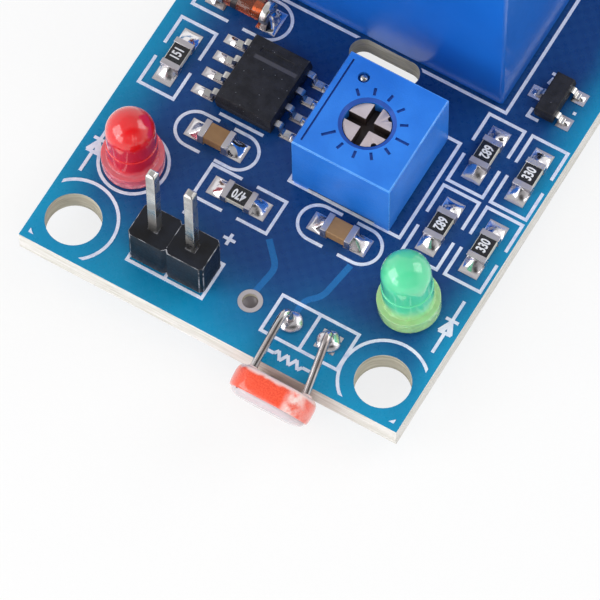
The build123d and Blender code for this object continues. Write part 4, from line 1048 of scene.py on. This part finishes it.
def closed(points):
    """Rows of points with a row more at each end, gathered in the middle of the row beside it."""
    first, last = (np.broadcast_to(row.mean(axis=0), row.shape) for row in (points[0], points[-1]))
    return np.concatenate([first[None], points, last[None]])


def paint(node, key):
    """Gives a CAD node that is shown as it is one of the finishes."""
    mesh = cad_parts[node].data
    mesh.materials.clear()
    mesh.materials.append(MATERIALS[key])


class MODULE_OT_chips(bpy.types.Operator):
    """Dress the chip resistors and capacitors, the comparator and the transistor"""

    bl_idname = "light_module.chips"
    bl_label = "Chips"

    def execute(self, context):
        # Plain numbers on the resistors, and the degrees that each is turned
        numbers = (("470", 180), ("151", 90), ("682", 270), ("330", 90), ("682", 270), ("330", 90))
        glaze_top = box_of("resistor_glaze")[1][2]
        for chip, (digits, turn) in enumerate(numbers, 1):
            dressed(f"resistor_{chip}_body", "alumina", 0.03)
            dressed(f"resistor_{chip}_ends", "cap", 0.07, 3)
            middle = (*middle_of(f"resistor_{chip}_body")[:2], glaze_top + 0.004 * MM)
            lettering(f"resistor_{chip}_number", digits, 0.86 * MM, middle, turn)
        dressed("resistor_glaze", "glaze", 0.01)
        for chip in (1, 2):
            dressed(f"capacitor_{chip}_body", "titanate", 0.05)
            dressed(f"capacitor_{chip}_ends", "cap", 0.08, 3)
        for chip in ("comparator", "transistor"):
            dressed(f"{chip}_body", "epoxy", 0.05)
            dressed(f"{chip}_leads", "tinned", 0.07, 3)
        return {"FINISHED"}


class MODULE_OT_diode(bpy.types.Operator):
    """Turn the glass diode's caps, band and tube"""

    bl_idname = "light_module.diode"
    bl_label = "Diode"

    def execute(self, context):
        low, high = box_of("diode_caps")
        middle, radius, half = (low + high) / 2, (high[2] - low[2]) / 2, (high[0] - low[0]) / 2
        # Where the glass begins, and the end of the narrow plug that each cap sends into it
        glass_end = half - (solids_of("diode_glass")[0][0][0] - low[0])
        plug, plug_end = radius * 0.5, glass_end - 0.7 * MM
        profile = rounded([
            (0, half), (radius * 0.93, half), (radius, half - 0.1 * MM), (radius, glass_end),
            (plug, glass_end - 0.05 * MM), (plug, plug_end), (0, plug_end),
        ], 0.08 * MM)
        caps = [turned(profile, 40, middle, (side, 0, 0), (0, 0, 1)) for side in (-1, 1)]
        piece("diode_caps_dressed", caps, "tinned", "diode_caps")
        tube = radius - 0.06 * MM
        profile = rounded([(0, -glass_end), (tube, -glass_end), (tube, glass_end), (0, glass_end)], 0.12 * MM)
        shape = turned(profile, 48, middle, (1, 0, 0), (0, 0, 1))
        piece("diode_glass_dressed", [shape], "glass", "diode_glass")
        # The band is a thin ring on the tube, and reaches a little way into it
        outside, inside, left, right = tube + 0.005 * MM, tube - 0.1 * MM, -0.75 * MM, -0.35 * MM
        ring = [(inside, left), (outside, left), (outside, right), (inside, right), (inside, left)]
        shape = turned(ring, 48, middle, (1, 0, 0), (0, 0, 1))
        piece("diode_band", [shape], "band")
        return {"FINISHED"}


class MODULE_OT_trimmer(bpy.types.Operator):
    """Dress the trimmer's housing, rotor and inner pieces"""

    bl_idname = "light_module.trimmer"
    bl_label = "Trimmer"

    def execute(self, context):
        low, high = box_of("trimmer_housing")
        middle, half = (low + high) / 2, (high - low) / 2

        def sunk(normals, middles):
            """The groove's finish, painted darker as shade, a little below the top, which is where the scale
            is.
            """
            below = high[2] - middles[:, 2]
            return np.where((below > 0.02 * MM) & (below < 0.2 * MM), 1, 0)

        def outer(places):
            """Only the housing's outer edges are softened."""
            return (np.abs(places - middle)[:, :2] > half[:2] - 0.15 * MM).any(axis=1)

        dressed("trimmer_housing", "trimmer groove", 0.045, pick=sunk,
                lit_edge_finish="trimmer_edge", soften=outer)
        face = box_of("trimmer_rotor")[1][2]

        def pick(normals, middles):
            """The pale finish on the rotor's top face, and the dark one of painted shade in its slots."""
            return np.where((normals[:, 2] > 0.5) & (middles[:, 2] > face - 0.05 * MM), 0, 1)

        dressed("trimmer_rotor", "rotor rotor_slot", 0.06, 3, "trimmer_rotor", pick)
        dressed("trimmer_wiper", "bronze", 0.03, body="trimmer_rotor")
        dressed("trimmer_track_plate", "alumina", 0.03)
        dressed("trimmer_pins", "tinned", 0.05)
        low, high = box_of("trimmer_plug")
        radius, height = (high[0] - low[0]) / 2, high[2] - low[2]
        angle = np.linspace(0, np.pi / 2, 9)
        dome = np.stack([radius * np.cos(angle), height - radius + radius * np.sin(angle)], axis=-1)
        profile = np.vstack([[(0, 0), (radius * 0.98, 0)], dome])
        ball = turned(profile, 32, (*(low + high)[:2] / 2, low[2]))
        piece("trimmer_plug_dressed", [ball], "nickel", "trimmer_plug")
        return {"FINISHED"}


class MODULE_OT_relay(bpy.types.Operator):
    """Dress the relay"""

    bl_idname = "light_module.relay"
    bl_label = "Relay"

    def execute(self, context):
        dressed("relay_case", "relay", 0.06, 3, lit_edge_finish="relay_edge")
        dressed("relay_base", "potting", 0.05)
        dressed("relay_pins", "tinned", 0.05)
        return {"FINISHED"}


class MODULE_OT_terminal(bpy.types.Operator):
    """Dress the screw terminal, its clamps and its screws"""

    bl_idname = "light_module.terminal"
    bl_label = "Screw terminal"

    def execute(self, context):
        dressed("terminal_housing", "terminal", 0.12, 3)
        dressed("terminal_contacts", "tinned", 0.06)
        for way in (1, 2, 3):
            for part in ("clamp", "screw"):
                name = f"terminal_{part}_{way}"
                dressed(name, "nickel", 0.08, 3, name)
        return {"FINISHED"}


class MODULE_OT_header(bpy.types.Operator):
    """Dress the pin header"""

    bl_idname = "light_module.header"
    bl_label = "Header"

    def execute(self, context):
        dressed("header_block", "nylon", 0.045, lit_edge_finish="nylon_edge")
        dressed("header_pins", "tinned", 0.05, 3)
        # A seam between the two cells, painted pale as a highlight, which stops short of their grooves
        low, high = box_of("header_block")
        middle = (low[0] + high[0]) / 2
        inset, half_width, half_height = 0.32 * MM, 0.035 * MM, 0.012 * MM
        path = np.array([(middle, low[1] + inset, high[2]), (middle, high[1] - inset, high[2])])
        section = np.array([(-1, -1), (1, -1), (0.5, 1), (-0.5, 1)]) * [half_width, half_height]
        piece("header_seam", [strip(path, section)], "nylon_edge")
        return {"FINISHED"}


class MODULE_OT_lamps(bpy.types.Operator):
    """Turn the two lenses and dress their leads"""

    bl_idname = "light_module.lamps"
    bl_label = "Indicator lamps"

    def execute(self, context):
        look = context.scene.module_lamps
        for name, lean in (("red", look.red_lean), ("green", look.green_lean)):
            node = f"lamp_{name}_lens"
            low, high = box_of(node)
            leads_low, leads_high = box_of(f"lamp_{name}_leads")
            lean = np.radians(lean)
            up = np.array((-np.sin(lean), 0, np.cos(lean)))
            across = np.array((np.cos(lean), 0, np.sin(lean)))
            middle = (leads_low + leads_high) / 2
            seat_z = high[2] - look.radius - look.barrel * np.cos(lean)
            origin = np.array((middle[0], middle[1], seat_z))
            r, flange = look.radius, look.flange_radius
            angle = np.linspace(0, np.pi / 2, 14)
            dome = np.stack([r * np.cos(angle), look.barrel + r * np.sin(angle)], axis=-1)
            # The flange with its chamfered foot, the wider foot of the lens, and its barrel
            chamfer_in, chamfer_up, softness, straight = 0.02 * MM, 0.12 * MM, 0.06 * MM, 0.4 * MM
            foot = rounded([
                (0, 0), (flange - chamfer_in, 0), (flange, chamfer_up), (flange, look.flange),
                (r + look.step, look.flange), (r + look.step, look.step_height), (r, look.step_height),
                (r, look.barrel - straight),
            ], softness)
            profile = np.vstack([foot, dome])
            lens = turned(profile, 72, origin, up, across)
            piece(f"{node}_dressed", [lens], name, node)
            dressed(f"lamp_{name}_leads", "tinned", 0.04)
        return {"FINISHED"}


class MODULE_OT_sensor(bpy.types.Operator):
    """Shape the photoresistor, its clear coat and its bent leads"""

    bl_idname = "light_module.sensor"
    bl_label = "Photoresistor"

    def execute(self, context):
        look = context.scene.module_sensor
        leads_low, leads_high = box_of("sensor_leads")
        tilt = np.radians(look.tilt)
        origin, out = sensor_place()
        lead_middle = origin[0] - look.offset

        def disc(rows, wide, tall, count=96, power=16):
            """Rows of (inset, depth) carried round the disc, whose radius is the smooth smaller of wide and
            tall / |sin a|."""
            angle = np.linspace(0, 2 * np.pi, count, endpoint=False)
            inset, depth = np.array(rows, float).T
            reach = (wide ** -power + (np.abs(np.sin(angle)) / tall) ** power) ** (-1 / power)
            r = np.maximum(reach[None] - inset[:, None], 0)
            points = np.stack([
                r * np.cos(angle), r * np.sin(angle), np.repeat(depth[:, None], count, 1),
            ], axis=-1)
            return placed(grid(points, wrap_columns=True), origin, (1, 0, 0), out)

        # Rows of (inset, depth) from the middle of the back over the rim to the middle of the face
        wide, tall, thick = look.diameter / 2, look.height / 2, look.thickness
        rows = rounded([
            (wide, 0), (0.9 * MM, 0), (0, 0), (0, thick), (0.3 * MM, thick), (wide, thick),
        ], 0.62 * MM, 10)
        shapes = [disc(rows, wide, tall)]
        # A bead of resin round each lead: (radius, depth) from its top behind the disc into the ceramic
        bead = np.array([(0, -0.16), (0.27, -0.16), (0.36, -0.03), (0.6, 0.02), (0.6, 0.1), (0, 0.1)]) * MM
        bead = rounded(bead, 0.12 * MM, 5)
        for side in (-1, 1):
            base = origin + np.array((side * look.spread / 2, 0, 0))
            shapes.append(turned(bead, 28, base, out, (1, 0, 0)))
        piece("sensor_body_dressed", shapes, "ceramic", "sensor_body")
        # The coat starts inside the ceramic, so that no gap shows, and its rim slopes in
        sunk = thick - 0.12 * MM
        coat = rounded([
            (wide, sunk), (0, sunk), (0.12 * MM, thick + 0.6 * look.coat),
            (0.6 * MM, thick + look.coat), (wide, thick + look.coat),
        ], 0.3 * MM, 8)
        shape = disc(coat, wide - 0.5 * look.inset, tall - 0.5 * look.inset)
        piece("sensor_coating_dressed", [shape], "coat", "sensor_coating")
        dressed("sensor_track", "film", 0.01)

        # Each lead runs up from its foot, straight to a knee just above the board, then to its crown, and
        # over into the disc, where its root lies in the ceramic
        leads = []
        lead_y = leads_high[1] - look.lead / 2
        knee_z = box_of("circuit_board")[1][2] + 0.05 * MM
        for side in (-1, 1):
            foot = np.array((lead_middle + side * look.hole_pitch / 2, lead_y, leads_low[2]))
            knee = np.array((foot[0], lead_y, knee_z))
            back = origin + np.array((side * look.spread / 2, 0, 0))
            root = back + out * 0.6 * MM
            crown = np.array((foot[0], lead_y, back[2] + (lead_y - back[1]) * np.tan(tilt)))
            if side < 0:
                crown[0] -= look.bow
            path = rounded([foot, knee, crown, root], look.bend, 12)
            # Square to the way forward and level, which keeps the foot's end level
            across = np.cross((0, 0, 1), root - crown)
            leads.append(carried(round_section(look.lead / 2, 20), path, across / np.linalg.norm(across)))
        piece("sensor_leads_dressed", leads, "lead", "sensor_leads")
        return {"FINISHED"}


class MODULE_OT_solder(bpy.types.Operator):
    """Draw the solder of every joint as a meniscus"""

    bl_idname = "light_module.solder"
    bl_label = "Solder"

    def execute(self, context):
        look = context.scene.module_solder
        for node, form in (
            ("surface_solder", self.pool), ("sensor_solder", self.dome), ("underside_solder", self.cone),
        ):
            joints = [form(*solid, look, number) for number, solid in enumerate(solids_of(node))]
            piece(f"{node}_dressed", joints, "solder", node, crease=60)
        return {"FINISHED"}

    def pool(self, low, high, lean, look, number):
        """A fillet of solder from a chip's end out to the foot of its land.

        At a share s of the way out the crown is rise * (1 - s^1.6)^1.5 high. The height falls to both
        sides as 1 - 0.93 |a|^1.6 does, where a runs from -1 to 1 across, the sides curve in as
        1 - 0.14 sin(pi s) does, and the foot curves in between the land's corners."""
        axis = 0 if abs(lean[0]) > abs(lean[1]) else 1
        way = -np.sign(lean[axis])
        run, width, rise = high[axis] - low[axis], high[1 - axis] - low[1 - axis], high[2] - low[2]
        share = np.linspace(0, 1, look.rows)
        loop = np.vstack([[(0, 0)], np.stack([share, (1 - share**1.6) ** 1.5], axis=-1)])
        across = np.linspace(-1, 1, 15)[:, None]
        crown = 1 - 0.93 * np.abs(across) ** 1.6
        outward = loop[None, :, 0] * run * (0.9 + 0.15 * across**2)
        height = loop[None, :, 1] * rise * crown
        sideways = across * width / 2 * (1.05 - 0.14 * np.sin(np.pi * loop[None, :, 0]))
        start = low[axis] if way > 0 else high[axis]
        points = np.empty((*outward.shape, 3))
        points[..., axis] = start + way * outward
        points[..., 1 - axis] = (low[1 - axis] + high[1 - axis]) / 2 + sideways
        points[..., 2] = low[2] + height
        free = (loop[:, 1] > 0) & (loop[:, 0] > 0)
        points[..., 2] += np.where(free, loop[:, 1], 0) * ripple(points, look.wave, look.stray, number)
        points[..., 2] = np.maximum(points[..., 2], low[2])
        return grid(closed(points), wrap_columns=True)

    def dome(self, low, high, lean, look, number):
        """A mound of solder round a lead that covers its land, with the profile r = R sqrt(1 - (z / h)^2)."""
        radius, height = (high[0] - low[0]) / 2 * look.mound, high[2] - low[2]
        angle = np.linspace(0, np.pi / 2, look.rows)
        arc = np.stack([radius * np.cos(angle), height * np.sin(angle)], axis=-1)
        shape = turned(np.vstack([[(0, 0)], arc]), 36, (*(low + high)[:2] / 2, low[2]))
        return swollen(shape, look.wave, (1 + number) * look.stray, number)

    def cone(self, low, high, lean, look, number):
        """Solder that climbs down a lead from the board.

        At a share t of the way from tip to board its radius is 0.42 + 0.58 t^2.4 of the land's."""
        bottom, top = low[2], box_of("circuit_board")[0][2]
        t = np.linspace(0, 1, look.rows)
        radius = (high[0] - low[0]) / 2 * (0.42 + 0.58 * t**2.4)
        side = np.stack([radius, bottom + (top - bottom) * t], axis=-1)
        profile = np.vstack([[(0, bottom)], side, [(0, top)]])
        shape = turned(profile, 28, (*(low + high)[:2] / 2, 0))
        return swollen(shape, look.wave, 0.6 * look.stray, number)


class MODULE_PT_panel(bpy.types.Panel):
    """The steps of the light sensor module, in order"""

    bl_label = "Light Module"
    bl_idname = "MODULE_PT_panel"
    bl_space_type = "VIEW_3D"
    bl_region_type = "UI"
    bl_category = "Light Module"

    def draw(self, context):
        for operator in OPERATORS:
            self.layout.operator(operator.bl_idname)
        for name, group in SETTINGS.items():
            part = self.layout.box()
            for entry in group.__annotations__:
                part.prop(getattr(context.scene, name), entry)


SETTINGS = {
    "module_stage": StageSettings,
    "module_board": BoardSettings,
    "module_lamps": LampSettings,
    "module_sensor": SensorSettings,
    "module_solder": SolderSettings,
}
OPERATORS = (
    MODULE_OT_stage,
    MODULE_OT_board,
    MODULE_OT_chips,
    MODULE_OT_diode,
    MODULE_OT_trimmer,
    MODULE_OT_relay,
    MODULE_OT_terminal,
    MODULE_OT_header,
    MODULE_OT_lamps,
    MODULE_OT_sensor,
    MODULE_OT_solder,
)


def register():
    """Makes the settings, the operators and the panel known."""
    for made in (*SETTINGS.values(), *OPERATORS, MODULE_PT_panel):
        bpy.utils.register_class(made)
    for name, group in SETTINGS.items():
        setattr(bpy.types.Scene, name, PointerProperty(type=group))


def unregister():
    """Takes them out again."""
    for name in SETTINGS:
        delattr(bpy.types.Scene, name)
    for made in reversed((*SETTINGS.values(), *OPERATORS, MODULE_PT_panel)):
        bpy.utils.unregister_class(made)


def main():
    """Runs every step in order."""
    register()
    for operator in OPERATORS:
        group, step = operator.bl_idname.split(".")
        result = getattr(getattr(bpy.ops, group), step)()
        if result != {"FINISHED"}:
            raise RuntimeError(f"{operator.bl_label} didn't finish")


if __name__ == "__main__":
    main()
